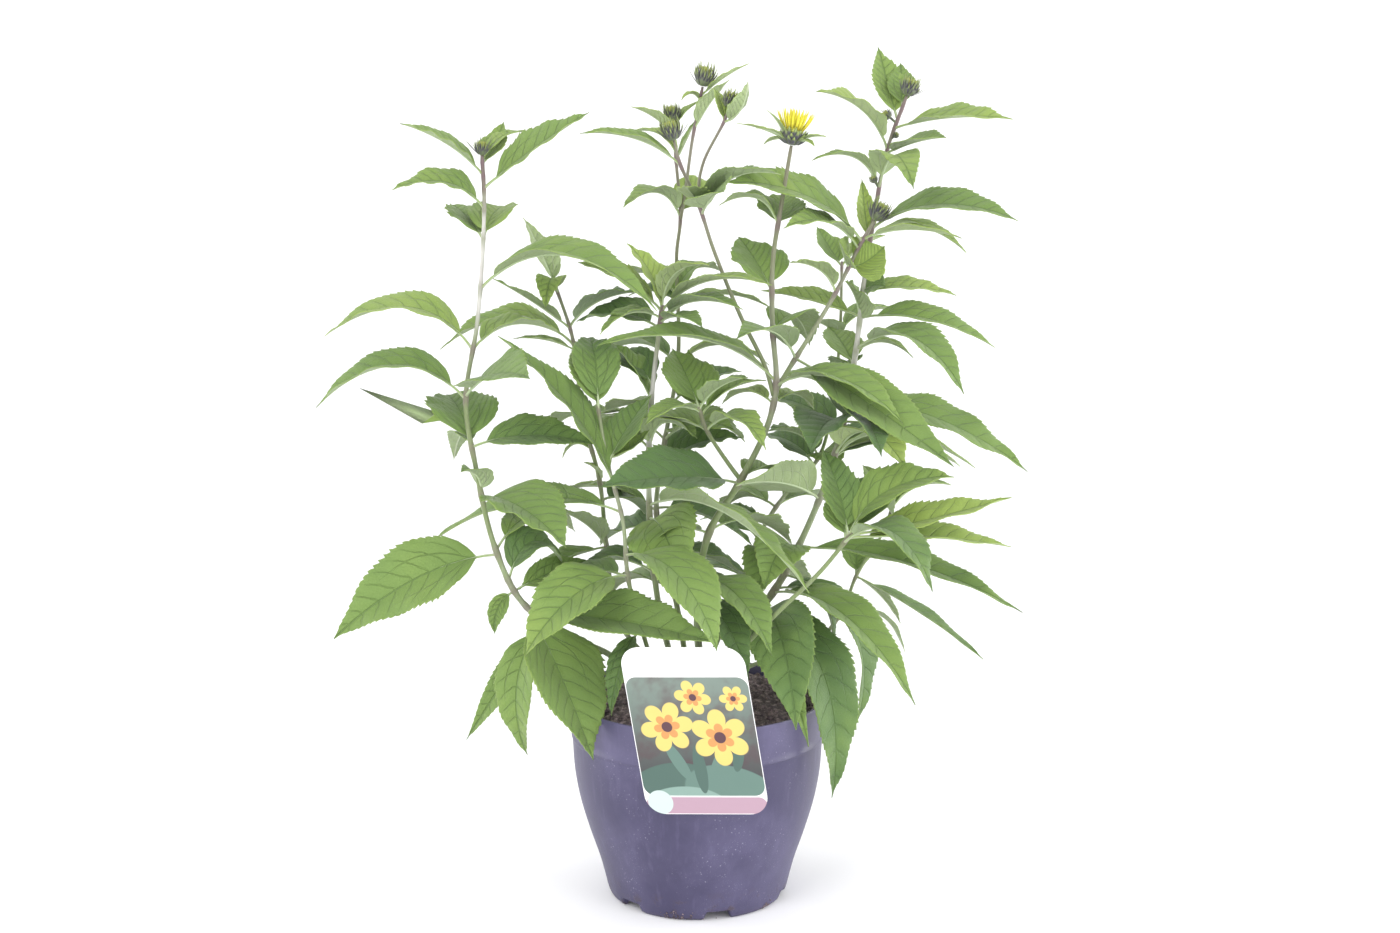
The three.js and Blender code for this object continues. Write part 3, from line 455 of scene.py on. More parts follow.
@dataclass
class Shell:
    """A mesh in the making, with a pattern place and a tint kept on every vertex.

    Attributes:
        bm: The bmesh, in millimetres.
        place: Vertex layer with the two pattern coordinates of a surface.
        tint: Vertex layer with four numbers for the finish.
    """

    bm: bmesh.types.BMesh = field(default_factory=bmesh.new)

    def __post_init__(self) -> None:
        """Adds the vertex layers."""
        self.place = self.bm.verts.layers.float_vector.new("place")
        self.tint = self.bm.verts.layers.float_color.new("tint")

    def mark(self, vert: bmesh.types.BMVert, across: float = 0.0, along: float = 0.0,
             tint: Sequence[float] = CLEAR_TINT) -> None:
        """Keeps a vertex's pattern place and tint."""
        vert[self.place] = (across, along, 0.0)
        vert[self.tint] = tint

    def write(self, verts: Verts, points: np.ndarray, places: np.ndarray,
              tints: np.ndarray) -> None:
        """Moves vertices and marks them, from one row of each table a vertex.

        Args:
            verts: The vertices.
            points: One place a vertex.
            places: Two pattern coordinates a vertex.
            tints: Four finish numbers a vertex.
        """
        for vert, point, place, tint in zip(verts, points.tolist(), places.tolist(),
                                            tints.tolist()):
            vert.co = point
            self.mark(vert, *place, tint)

    def grid(self, across: int, along: int) -> tuple[list[bmesh.types.BMVert], np.ndarray]:
        """Adds a flat grid of cells.

        Args:
            across: Cells across.
            along: Cells along.

        Returns:
            Its vertices, and the column and row number of each.
        """
        verts = bmesh.ops.create_grid(self.bm, x_segments=across, y_segments=along,
                                      size=1.0)["verts"]
        flat = np.array([vert.co[:2] for vert in verts])
        return verts, np.rint((flat + 1) / 2 * (across, along)).astype(int)

    def faces_of(self, verts: Verts) -> Faces:
        """All faces that touch the vertices, each once, in a fixed order."""
        return list({face: None for vert in verts for face in vert.link_faces})

    def skin(self, faces: Iterable[bmesh.types.BMFace], slot: int, smooth: bool = True) -> None:
        """Gives faces a material slot and their shading."""
        for face in faces:
            face.material_index, face.smooth = slot, smooth

    def turn_to(self, faces: Faces, probe: bmesh.types.BMFace, way: Vector) -> None:
        """Turns a sheet's faces so that one of them looks a given way.

        Args:
            faces: The sheet's faces.
            probe: The face that is looked at.
            way: The direction that it has to look.
        """
        bmesh.ops.recalc_face_normals(self.bm, faces=faces)
        probe.normal_update()
        if way.dot(probe.normal) < 0:
            bmesh.ops.reverse_faces(self.bm, faces=faces)

    def thicken(self, faces: Faces, thickness: float) -> Faces:
        """Gives a sheet its thickness and returns the new faces."""
        made = bmesh.ops.solidify(self.bm, geom=faces, thickness=thickness)["geom"]
        return [item for item in made if isinstance(item, bmesh.types.BMFace)]

    def lathe(self, profile: Sequence[tuple[float, float]], steps: int) -> None:
        """Spins a section of radius and height pairs that starts and ends on the axis.

        Args:
            profile: Radius and height pairs.
            steps: Steps of the turn.
        """
        line = [self.bm.verts.new((r, 0.0, z)) for r, z in profile]
        edges = [self.bm.edges.new(pair) for pair in zip(line, line[1:])]
        bmesh.ops.spin(self.bm, geom=[*line, *edges], cent=(0, 0, 0), axis=UP,
                       angle=math.tau, steps=steps, use_merge=True)
        bmesh.ops.remove_doubles(self.bm, verts=self.bm.verts, dist=MERGE)

    def tube(self, centres: np.ndarray, radii: np.ndarray, sides: int, tints: np.ndarray,
             slot: int, flatten: float = 1.0) -> None:
        """Adds a closed round tube along a line.

        Args:
            centres: One point a ring.
            radii: One radius a ring.
            sides: Corners of a ring.
            tints: Four finish numbers a ring.
            slot: Material slot.
            flatten: Depth of the section against its width.
        """
        rings = len(centres)
        verts, cell = self.grid(sides, rings + 1)
        ring = np.clip(cell[:, 1] - 1, 0, rings - 1)
        turn = cell[:, 0] * math.tau / sides
        along = unit(np.gradient(centres, axis=0))
        side = np.zeros_like(along)
        start = np.cross(along[0], (0.0, 1.0, 0.02))
        for k in range(rings):
            start = start - along[k] * float(np.dot(start, along[k]))
            start = start / np.linalg.norm(start)
            side[k] = start
        deep = np.cross(along, side)
        open_ring = ((cell[:, 1] > 0) & (cell[:, 1] <= rings)).astype(float)
        points = centres[ring] + (radii[ring] * open_ring)[:, None] * (
            np.cos(turn)[:, None] * side[ring] + flatten * np.sin(turn)[:, None] * deep[ring])
        self.write(verts, points, columns(cell[:, 0] / sides, ring / (rings - 1)), tints[ring])
        self.skin(self.faces_of(verts), slot)
        bmesh.ops.remove_doubles(self.bm, verts=verts, dist=MERGE)

    def finish(self, name: str, materials: Sequence[bpy.types.Material], slot: str,
               nodes: Sequence[str]) -> bpy.types.Object:
        """Turns the bmesh into a finished piece.

        Args:
            name: Name of the piece.
            materials: Its material slots.
            slot: Not used.
            nodes: The nodes it stands for.

        Returns:
            The piece.
        """
        bmesh.ops.scale(self.bm, vec=(MM, MM, MM), verts=self.bm.verts)
        bmesh.ops.recalc_face_normals(self.bm, faces=self.bm.faces)
        mesh = bpy.data.meshes.new(name)
        self.bm.to_mesh(mesh)
        self.bm.free()
        place = np.zeros(len(mesh.vertices) * 3, np.float32)
        mesh.attributes["place"].data.foreach_get("vector", place)
        corner = np.zeros(len(mesh.loops), np.int32)
        mesh.loops.foreach_get("vertex_index", corner)
        layer = mesh.uv_layers.new(name="surface")
        layer.uv.foreach_set("vector", place.reshape(-1, 3)[corner, :2].ravel())
        mesh.attributes.remove(mesh.attributes["place"])
        for material in materials:
            mesh.materials.append(material)
        piece = add_object(name, mesh)
        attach(piece, "root")
        if nodes:
            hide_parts(*nodes)
        LOG.info("%s: %d faces", name, len(mesh.polygons))
        return piece


# ------------------------------------------------------------------ finishes
class Wire:
    """One value on its way through a material, with plain arithmetic."""

    def __init__(self, paint: "Paint", socket: bpy.types.NodeSocket) -> None:
        """Keeps the socket that the value comes from."""
        self.paint, self.socket = paint, socket

    def __add__(self, other: "Wire | float") -> "Wire":
        """Sum of two values."""
        return self.paint.math("ADD", self, other)

    def __sub__(self, other: "Wire | float") -> "Wire":
        """This value less another."""
        return self.paint.math("SUBTRACT", self, other)

    def __rsub__(self, other: float) -> "Wire":
        """A number less this value."""
        return self.paint.math("SUBTRACT", other, self)

    def __mul__(self, other: "Wire | float") -> "Wire":
        """Product of two values."""
        return self.paint.math("MULTIPLY", self, other)

    def __truediv__(self, other: "Wire | float") -> "Wire":
        """This value over another."""
        return self.paint.math("DIVIDE", self, other)

    def __pow__(self, other: float) -> "Wire":
        """This value to a power."""
        return self.paint.math("POWER", self, other)

    def __rpow__(self, other: float) -> "Wire":
        """A number to the power of this value."""
        return self.paint.math("POWER", other, self)

    def __abs__(self) -> "Wire":
        """The value without its sign."""
        return self.paint.math("ABSOLUTE", self)

    def fit(self, factor: float, offset: float) -> "Wire":
        """The value scaled and then moved."""
        return self.paint.math("MULTIPLY_ADD", self, factor, offset)

    def most(self, other: "Wire | float") -> "Wire":
        """The larger of two values."""
        return self.paint.math("MAXIMUM", self, other)

    def far(self, other: "Wire") -> "Wire":
        """The reach of two steps at right angles."""
        return self.paint.math("SQRT", self * self + other * other)

    def band(self, low: float, high: float, first: float = 0.0, second: float = 1.0) -> "Wire":
        """A smooth step of the value from one level to another.

        Args:
            low: Where it starts.
            high: Where it ends.
            first: The result below it.
            second: The result above it.

        Returns:
            The step.
        """
        made = self.paint.node("MapRange", interpolation_type="SMOOTHSTEP", clamp=True)
        for key, number in enumerate((self, low, high, first, second)):
            self.paint.put(made.inputs[key], number)
        return Wire(self.paint, made.outputs[0])


class Paint:
    """Adds nodes to one material by plain calls."""

    def __init__(self, name: str) -> None:
        """Starts a material of this name.

        Args:
            name: Name of the material.
        """
        self.material = bpy.data.materials.new(name)
        self.material.use_nodes = True
        self.tree = self.material.node_tree

    def node(self, kind: str, **settings: object) -> bpy.types.Node:
        """A new node with its plain properties set.

        Args:
            kind: The node's kind.
            settings: Its plain properties.

        Returns:
            The node.
        """
        made = self.tree.nodes.new("ShaderNode" + kind)
        for key, value in settings.items():
            setattr(made, key, value)
        return made

    def put(self, socket: bpy.types.NodeSocket, value: Wire | float | Sequence[float]) -> None:
        """Joins or sets an input socket.

        Args:
            socket: The input.
            value: What it is joined or set to.
        """
        if isinstance(value, Wire):
            self.tree.links.new(value.socket, socket)
        elif isinstance(value, (int, float)):
            socket.default_value = value
        else:
            socket.default_value = (*value, 1.0)[:len(socket.default_value)]

    def fill(self, made: bpy.types.Node, out: str | int, **values: Wire | float) -> Wire:
        """Sets a node's inputs by name and reads one output of it."""
        for key, value in values.items():
            self.put(made.inputs[key], value)
        return Wire(self, made.outputs[out])

    def math(self, work: str, *values: Wire | float, clamp: bool = False) -> Wire:
        """The result of a Math node.

        Args:
            work: The operation.
            values: What goes in, in order.
            clamp: Whether the result stays within nought and one.

        Returns:
            The result.
        """
        made = self.node("Math", operation=work, use_clamp=clamp)
        for socket, value in zip(made.inputs, values):
            self.put(socket, value)
        return Wire(self, made.outputs[0])

    def mix(self, share: Wire | float, first: Wire | Colour, second: Wire | Colour) -> Wire:
        """Two colours mixed by a share.

        Args:
            share: How much of the second shows.
            first: The first colour.
            second: The second colour.

        Returns:
            The mixed colour.
        """
        made = self.node("Mix", data_type="RGBA")
        for key, value in ((0, share), (6, first), (7, second)):
            self.put(made.inputs[key], value)
        return Wire(self, made.outputs[2])

    def spot(self, stretch: Point = EVEN) -> Wire:
        """Object coordinates, scaled.

        Args:
            stretch: Scale along each axis.

        Returns:
            The coordinates.
        """
        made = self.node("Mapping")
        self.tree.links.new(self.node("TexCoord").outputs["Object"], made.inputs["Vector"])
        return self.fill(made, 0, Scale=stretch)

    def noise(self, scale: float, detail: float, rough: float = 0.55,
              stretch: Point = EVEN) -> Wire:
        """Value of a noise pattern."""
        return self.fill(self.node("TexNoise"), "Fac", Vector=self.spot(stretch), Scale=scale,
                         Detail=detail, Roughness=rough)

    def cells(self, scale: float, stretch: Point = EVEN) -> Wire:
        """Distance from the middle of the nearest cell of a pattern."""
        return self.fill(self.node("TexVoronoi"), "Distance", Vector=self.spot(stretch),
                         Scale=scale)

    def net(self, scale: float) -> Wire:
        """Distance from the nearest edge between two cells."""
        return self.fill(self.node("TexVoronoi", feature="DISTANCE_TO_EDGE"), "Distance",
                         Vector=self.spot(), Scale=scale)

    def uv(self) -> tuple[Wire, Wire]:
        """The two surface coordinates of a piece.

        Returns:
            Across and along the surface.
        """
        parts = self.node("SeparateXYZ")
        self.tree.links.new(self.node("UVMap", uv_map="surface").outputs[0], parts.inputs[0])
        return Wire(self, parts.outputs[0]), Wire(self, parts.outputs[1])

    def tint(self) -> tuple[Wire, Wire, Wire]:
        """The first three finish numbers of a piece.

        Returns:
            The numbers.
        """
        parts = self.node("SeparateColor")
        read = self.node("Attribute", attribute_name="tint")
        self.tree.links.new(read.outputs["Color"], parts.inputs[0])
        return (Wire(self, parts.outputs[0]), Wire(self, parts.outputs[1]),
                Wire(self, parts.outputs[2]))

    def blade_length(self) -> Wire:
        """The fourth finish number, which holds a leaf's blade length."""
        return Wire(self, self.node("Attribute", attribute_name="tint").outputs["Alpha"])

    def done(self, colour: Wire | Colour, rough: Wire | float, relief: Wire | None = None,
             depth: float = 0.0, **plain: float) -> bpy.types.Material:
        """Sets the shader and returns the material.

        Args:
            colour: Base colour.
            rough: Roughness.
            relief: Height pattern of the bump.
            depth: Depth of the bump, in metres.
            plain: Other shader inputs by name, with underscores for spaces.

        Returns:
            The finished material.
        """
        shader = self.tree.nodes["Principled BSDF"].inputs
        self.put(shader["Base Color"], colour)
        self.put(shader["Roughness"], rough)
        if relief is not None:
            self.put(shader["Normal"], self.fill(self.node("Bump"), 0, Height=relief,
                                                 Distance=depth, Strength=1.0))
        for key, value in plain.items():
            self.put(shader[key.replace("_", " ")], value)
        return self.material


class LeafSide(Enum):
    """The two faces of a leaf."""

    UPPER = "leaf_upper"
    UNDER = "leaf_underside"


@dataclass(frozen=True)
class LeafFinish:
    """A serrated leaf's surface: green by age, with a midrib and curving side veins, painted shade
    along the sunken side veins and painted highlights on the domes between them.
    """

    side: LeafSide
    old: Colour
    middle: Colour
    young: Colour
    vein: Colour
    vein_share: float
    relief: float
    rough: float

    def material(self) -> bpy.types.Material:
        """Builds the material.

        Returns:
            The finished material.
        """
        paint = Paint(self.side.value)
        across, along = paint.uv()
        age, _, half = paint.tint()
        s = abs(across.fit(2.0, -1.0))
        span = half * TINT_HALF
        wide = s * span
        # pinnate side veins, leaving the midrib forwards
        lag = wide * wide.fit(VEIN_CURVE, VEIN_LEAD) / (paint.blade_length() * TINT_BLADE)
        phase = (along - lag) * SIDE_VEINS + paint.noise(90.0, 2.0).fit(0.4, -0.2)
        part = abs(paint.math("FRACT", phase) - 0.5)
        side_vein = part.band(0.07, 0.0) * s.band(0.98, 0.55) * along.band(0.04, 0.14)
        # the two strong veins that leave the foot of the blade
        bend = 1.0 - 0.0006 ** (along - 0.015).most(0.0)
        foot_vein = (abs(s - bend * 0.52) * span).band(0.6, 0.05) * along.band(0.72, 0.3)
        midrib = wide.band(0.85, 0.25)
        veins = side_vein.most(foot_vein).most(midrib)
        net = paint.net(420.0).band(0.12, 0.0)
        fine = paint.net(1100.0).band(0.2, 0.0)
        quilt = paint.math("COSINE", phase * math.tau)
        height = veins * self.relief + net * (0.22 * self.relief) \
            + fine * (0.07 * self.relief) + quilt * 0.1
        # green by age, with darker specks and a younger rim; the quilt term is painted shade along
        # the sunken side veins and a painted highlight on the domes between them
        tone = age + paint.noise(26.0, 4.0).fit(0.6, -0.3) + quilt * 0.02
        green = paint.mix(tone.band(0.0, 0.5), self.old, self.middle)
        green = paint.mix(tone.band(0.45, 1.0), green, self.young)
        speck = paint.noise(700.0, 2.0)
        green = paint.mix(speck * 0.14, green, tuple(0.45 * c for c in self.old))
        green = paint.mix(s.band(0.93, 1.0) * 0.35, green, self.young)
        share = (midrib * 1.1).most((foot_vein * 0.5).most(side_vein * 0.26)).most(net * 0.16)
        green = paint.mix(paint.math("MULTIPLY", share, self.vein_share, clamp=True), green,
                          self.vein)
        return paint.done(green, speck.fit(0.16, self.rough), height, 0.0011,
                          Specular_IOR_Level=0.35, Sheen_Weight=0.12, Sheen_Roughness=0.5)


@dataclass(frozen=True)
class StemFinish:
    """A ridged green stem that turns purple-brown at its nodes and top, with pale streaks and
    hairs and, on sunlit bare spans, a painted highlight that is nearly white.
    """

    name: str
    green: Colour
    pale: Colour
    purple: Colour
    rough: float = 0.55

    def material(self) -> bpy.types.Material:
        """Builds the material.

        Returns:
            The finished material.
        """
        paint = Paint(self.name)
        purple, pale, _ = paint.tint()
        streak = paint.noise(900.0, 3.0, stretch=(1.0, 1.0, 0.09))
        blotch = paint.noise(120.0, 3.0, stretch=(1.0, 1.0, 0.4))
        # the second tint number is the pale share: random streaks, and the painted highlight on
        # sunlit bare spans
        share = paint.math("ADD", pale, streak.fit(0.5, -0.25), clamp=True)
        colour = paint.mix(share, self.green, self.pale)
        share = paint.math("ADD", purple, blotch.fit(0.6, -0.3), clamp=True)
        colour = paint.mix(share, colour, self.purple)
        hairs = paint.cells(1500.0, (1.0, 1.0, 0.5)).band(0.22, 0.0)
        colour = paint.mix(hairs * 0.16, colour, self.pale)
        return paint.done(colour, self.rough, streak + hairs * 0.7, 0.00025,
                          Specular_IOR_Level=0.35, Sheen_Weight=0.25)


@dataclass(frozen=True)
class HeadFinish:
    """A part of a flower head: its colour runs from foot to tip, with fine streaks."""

    name: str
    foot: Colour
    tip: Colour
    edge: Colour
    rough: float = 0.6
    turn_at: float = 0.5
    turn_over: float = 1.0

    def material(self) -> bpy.types.Material:
        """Builds the material.

        Returns:
            The finished material.
        """
        paint = Paint(self.name)
        across, along = paint.uv()
        _, own, _ = paint.tint()
        streak = paint.noise(1300.0, 3.0, stretch=(1.0, 1.0, 0.3))
        share = paint.math("ADD", along, streak.fit(0.4, -0.2), clamp=True)
        colour = paint.mix(share.band(self.turn_at - self.turn_over / 2,
                                      self.turn_at + self.turn_over / 2), self.foot, self.tip)
        side = abs(across.fit(2.0, -1.0)).band(0.55, 1.0)
        colour = paint.mix(side * 0.6, colour, self.edge)
        colour = paint.mix(own * 0.35, colour, self.edge)
        return paint.done(colour, self.rough, streak, 0.0003, Specular_IOR_Level=0.3,
                          Sheen_Weight=0.2)


@dataclass(frozen=True)
class PotFinish:
    """Thin violet-grey moulded plastic, dusty and scuffed, with water marks near its foot and a
    painted highlight on the collar above the seam.
    """

    body: Colour = (0.046, 0.04, 0.094)
    # paler tone of the clouds and streaks, and of the painted highlight on the collar
    light: Colour = (0.16, 0.145, 0.265)
    dust: Colour = (0.42, 0.4, 0.52)
    dirt: Colour = (0.07, 0.045, 0.045)

    def material(self) -> bpy.types.Material:
        """Builds the material.

        Returns:
            The finished material.
        """
        paint = Paint("pot_plastic")
        parts = paint.node("SeparateXYZ")
        paint.put(parts.inputs[0], paint.spot())
        level = Wire(paint, parts.outputs[2])
        cloud = paint.noise(14.0, 5.0, 0.6)
        run = paint.noise(160.0, 4.0, 0.6, (1.0, 1.0, 0.12))
        colour = paint.mix(cloud.band(0.35, 0.75, 0.0, 0.35), self.body, self.light)
        colour = paint.mix(run.band(0.5, 0.85, 0.0, 0.3), colour, self.light)
        speck = paint.cells(260.0).band(0.2, 0.05)
        grit = paint.cells(620.0).band(0.2, 0.08)
        marks = speck.most(grit * 0.6) * paint.noise(30.0, 3.0).band(0.42, 0.7)
        colour = paint.mix(marks * 0.5, colour, self.dust)
        # painted highlight: the collar above the seam is painted lighter
        colour = paint.mix(level.band(0.126, 0.129, 0.0, 0.22), colour, self.light)
        mud = level.band(0.03, 0.0) * paint.noise(75.0, 5.0, 0.7).band(0.52, 0.66)
        colour = paint.mix(mud * 0.75, colour, self.dirt)
        height = paint.noise(1500.0, 2.0) * 0.3 + (marks * 0.6 + mud * 1.2)
        return paint.done(colour, cloud.fit(0.25, 0.32) + marks * 0.25, height, 0.00025,
                          Specular_IOR_Level=0.5)


@dataclass(frozen=True)
class SoilFinish:
    """Loose dark potting soil with reddish fibres and pale grains."""

    dark: Colour = (0.1, 0.08, 0.088)
    brown: Colour = (0.34, 0.265, 0.275)
    fibre: Colour = (0.24, 0.15, 0.13)
    grain: Colour = (0.45, 0.38, 0.36)

    def material(self) -> bpy.types.Material:
        """Builds the material.

        Returns:
            The finished material.
        """
        paint = Paint("potting_soil")
        lump = paint.noise(190.0, 6.0, 0.7)
        fibre = paint.noise(800.0, 3.0, stretch=(1.0, 0.25, 1.0))
        colour = paint.mix(lump.band(0.42, 0.68), self.dark, self.brown)
        colour = paint.mix(fibre.band(0.62, 0.72, 0.0, 0.6), colour, self.fibre)
        pale = paint.cells(330.0).band(0.16, 0.08)
        colour = paint.mix(pale * 0.55, colour, self.grain)
        return paint.done(colour, 0.95, lump + fibre * 0.5, 0.0016, Specular_IOR_Level=0.2)


@dataclass(frozen=True)
class PrintSpot:
    """One printed shape, in card millimetres: an oval, or a flower where it has petals."""

    x: float
    z: float
    wide: float
    tall: float
    turn: float
    ink: Colour
    petals: int = 0

    def inside(self, paint: Paint, x: Wire, z: Wire) -> Wire:
        """A share of one inside the shape.

        Args:
            paint: The material in the making.
            x: Card millimetres across.
            z: Card millimetres up.

        Returns:
            The share.
        """
        c, s = math.cos(math.radians(self.turn)), math.sin(math.radians(self.turn))
        dx, dz = x - self.x, z - self.z
        along = dx * (c / self.wide) + dz * (s / self.wide)
        up = dz * (c / self.tall) - dx * (s / self.tall)
        reach = along.far(up)
        if self.petals:
            angle = paint.math("ARCTAN2", up, along) * (self.petals / 2)
            petal = abs(paint.math("COSINE", angle)) ** 0.6
            reach = reach / petal.fit(0.5, 0.5)
        return reach.band(1.03, 0.98)


@dataclass(frozen=True)
class LabelFinish:
    """A white plant card printed with plain shapes: four flowers over hills, a band, a disc."""

    card: Colour = (0.86, 0.86, 0.86)
    night: Colour = (0.04, 0.042, 0.045)
    haze: Colour = (0.16, 0.21, 0.18)
    strip: Colour = (0.4, 0.26, 0.33)
    teal: Colour = (0.1, 0.18, 0.15)
    deep: Colour = (0.055, 0.11, 0.09)
    hill: Colour = (0.2, 0.31, 0.27)
    pale_teal: Colour = (0.5, 0.6, 0.58)
    cream: Colour = (0.64, 0.5, 0.14)
    orange: Colour = (0.54, 0.25, 0.075)
    maroon: Colour = (0.075, 0.024, 0.036)
    # centre across, centre up, reach and turn of each flower
    flowers: tuple[Row, ...] = ((25, 66, 19, 10), (62, 58, 21, 32), (47, 88, 13, 50),
                                (76, 87, 10, 0))

    def spots(self) -> list[PrintSpot]:
        """The printed shapes, from the lowest layer to the highest.

        Returns:
            The shapes.
        """
        leaf, deep = self.teal, self.deep
        made = [PrintSpot(*row) for row in (
            (20, 18, 34, 20, 14, deep), (66, 14, 36, 22, -16, leaf), (30, 6, 30, 15, 0, self.hill),
            (58, 38, 4.5, 16, -28, leaf), (29, 40, 4.5, 16, 26, leaf), (44, 34, 4.5, 18, 2, deep),
            (73, 44, 4, 12, -14, deep))]
        for x, z, size, turn in self.flowers:
            made += [PrintSpot(x, z, size, size, turn, self.cream, 6),
                     PrintSpot(x, z, size * 0.5, size * 0.5, turn, self.orange, 6),
                     PrintSpot(x, z, size * 0.2, size * 0.2, 0, self.maroon)]
        return made

    def box(self, x: Wire, z: Wire, low: tuple[float, float], high: tuple[float, float],
            corner: float) -> Wire:
        """A share of one inside a printed rectangle with round corners."""
        off_x, off_z = ((abs(value - (a + b) / 2) - ((b - a) / 2 - corner)).most(0.0)
                        for value, a, b in zip((x, z), low, high))
        return off_x.far(off_z).band(corner + 0.15, corner - 0.15)

    def material(self) -> bpy.types.Material:
        """Builds the material.

        Returns:
            The finished material.
        """
        paint = Paint("label_print")
        u, v = paint.uv()
        x, z = u * Label.width, v * Label.height
        picture = paint.mix(z.band(20.0, 110.0), self.night, self.haze)
        picture = paint.mix(paint.noise(55.0, 3.0).band(0.45, 0.7, 0.0, 0.5), picture,
                            self.maroon)
        for spot in self.spots():
            picture = paint.mix(spot.inside(paint, x, z), picture, spot.ink)
        colour = paint.mix(self.box(x, z, (0.5, 14.0), (88.5, 103.0), 8.0), self.card, picture)
        colour = paint.mix(self.box(x, z, (0.4, 0.4), (88.6, 13.0), 6.0), colour, self.strip)
        disc = PrintSpot(11, 9, 9, 9, 0, self.pale_teal)
        colour = paint.mix(disc.inside(paint, x, z), colour, disc.ink)
        return paint.done(colour, 0.32, Specular_IOR_Level=0.5, Coat_Weight=0.15,
                          Coat_Roughness=0.2)


@dataclass(frozen=True)
class PlainFinish:
    """A plain even surface with a faint grain, for the card's back and the floor."""

    name: str
    colour: Colour
    rough: float

    def material(self) -> bpy.types.Material:
        """Builds the material.

        Returns:
            The finished material.
        """
        paint = Paint(self.name)
        colour = paint.mix(paint.noise(300.0, 2.0) * 0.06, self.colour,
                           tuple(0.8 * c for c in self.colour))
        return paint.done(colour, self.rough, Specular_IOR_Level=0.3)


class Palette:
    """Every material of the plant, made once."""

    def __init__(self) -> None:
        """Makes the materials."""
        self.upper = LeafFinish(
            LeafSide.UPPER, (0.085, 0.16, 0.046), (0.175, 0.275, 0.066), (0.31, 0.42, 0.09),
            (0.09, 0.165, 0.042), 0.45, -0.6, 0.45).material()
        self.under = LeafFinish(
            LeafSide.UNDER, (0.23, 0.32, 0.165), (0.31, 0.4, 0.195), (0.39, 0.49, 0.215),
            (0.58, 0.62, 0.45), 0.75, 0.55, 0.62).material()
        self.rib = StemFinish("leaf_rib", (0.36, 0.47, 0.24), (0.5, 0.58, 0.38),
                              (0.2, 0.12, 0.11), 0.5).material()
        # its pale colour is also the painted highlight on sunlit bare spans
        self.stem = StemFinish("stem_skin", (0.19, 0.25, 0.1), (0.56, 0.55, 0.52),
                               (0.17, 0.11, 0.125)).material()
        self.bract = HeadFinish("bud_bract", (0.06, 0.055, 0.085), (0.3, 0.38, 0.1),
                                (0.12, 0.125, 0.11), 0.6, 0.62, 0.36).material()
        self.needle = HeadFinish("bud_needle", (0.09, 0.085, 0.1), (0.13, 0.15, 0.11),
                                 (0.2, 0.22, 0.16)).material()
        self.cup = HeadFinish("bud_cup", (0.16, 0.2, 0.1), (0.09, 0.09, 0.09),
                              (0.2, 0.24, 0.13)).material()
        self.floret = HeadFinish("bud_floret", (0.26, 0.34, 0.06), (0.5, 0.55, 0.12),
                                 (0.56, 0.55, 0.14)).material()
        self.ray = HeadFinish("ray_petal", (0.36, 0.31, 0.02), (0.76, 0.69, 0.05),
                              (0.6, 0.52, 0.03), 0.5, 0.26, 0.5).material()
        self.pot = PotFinish().material()
        self.soil = SoilFinish().material()
        self.label = LabelFinish().material()
        self.card = PlainFinish("label_card", (0.82, 0.82, 0.82), 0.45).material()


# ------------------------------------------------------------------ leaves and stems
@dataclass(frozen=True)
class LeafForm:
    """Sizes that every leaf shares, in millimetres, degrees or shares of the blade."""

    thickness: float = 0.5
    petiole: float = 16.0
    petiole_share: float = 0.13
    petiole_half: float = 0.9
    widest: float = 0.36
    swell: float = 0.75
    fold: float = 18.0
    columns: tuple[float, ...] = (0.0, 0.12, 0.28, 0.46, 0.64, 0.8, 0.92, 1.0)
    tooth_pitch: float = 6.2
    tooth_depth: float = 1.6
    deepest_share: float = 0.08
    first_tooth: float = 0.12
    last_tooth: float = 0.93
    toothed_band: float = 0.2  # share of the half width that the teeth reach into
    tooth_lean: float = 0.9
    quilt: float = 0.3
    wave: float = 0.036  # of the width
    full_relief: float = 60.0  # blade length at which teeth and quilting are whole
    line_points: int = 120
    # how far along the chord and how many arches up the midrib's two handles stand
    handles: Profile = ((0.28, 1.5), (0.68, 1.2))
    roll_run: float = 0.2  # share of the length over which a roll comes in
    twist: float = 9.0  # degrees that a tip turns at most
    # how thick the rib is, how deep it is sunk and how purple, by share of the blade
    rib_thick: tuple[Row, Row] = ((-1, -0.85, 0, 0.3, 0.93), (1.5, 1.1, 0.95, 0.7, 0.2))
    rib_sink: tuple[Row, Row] = ((-1, -0.1, 0.05, 1), (0.0, 0.0, 0.55, 0.6))
    rib_purple: tuple[Row, Row] = ((-1, -0.6, 0.1, 1), (0.45, 0.15, 0.02, 0.0))

    def width(self, t: np.ndarray) -> np.ndarray:
        """Share of the full width along the blade: blunt foot, long drawn-out tip.

        Args:
            t: Shares of the blade.

        Returns:
            Shares of the full width.
        """
        t = np.clip(t, 0, 1)
        fall = self.swell * (1 - self.widest) / self.widest
        return (t / self.widest) ** self.swell * ((1 - t) / (1 - self.widest)) ** fall


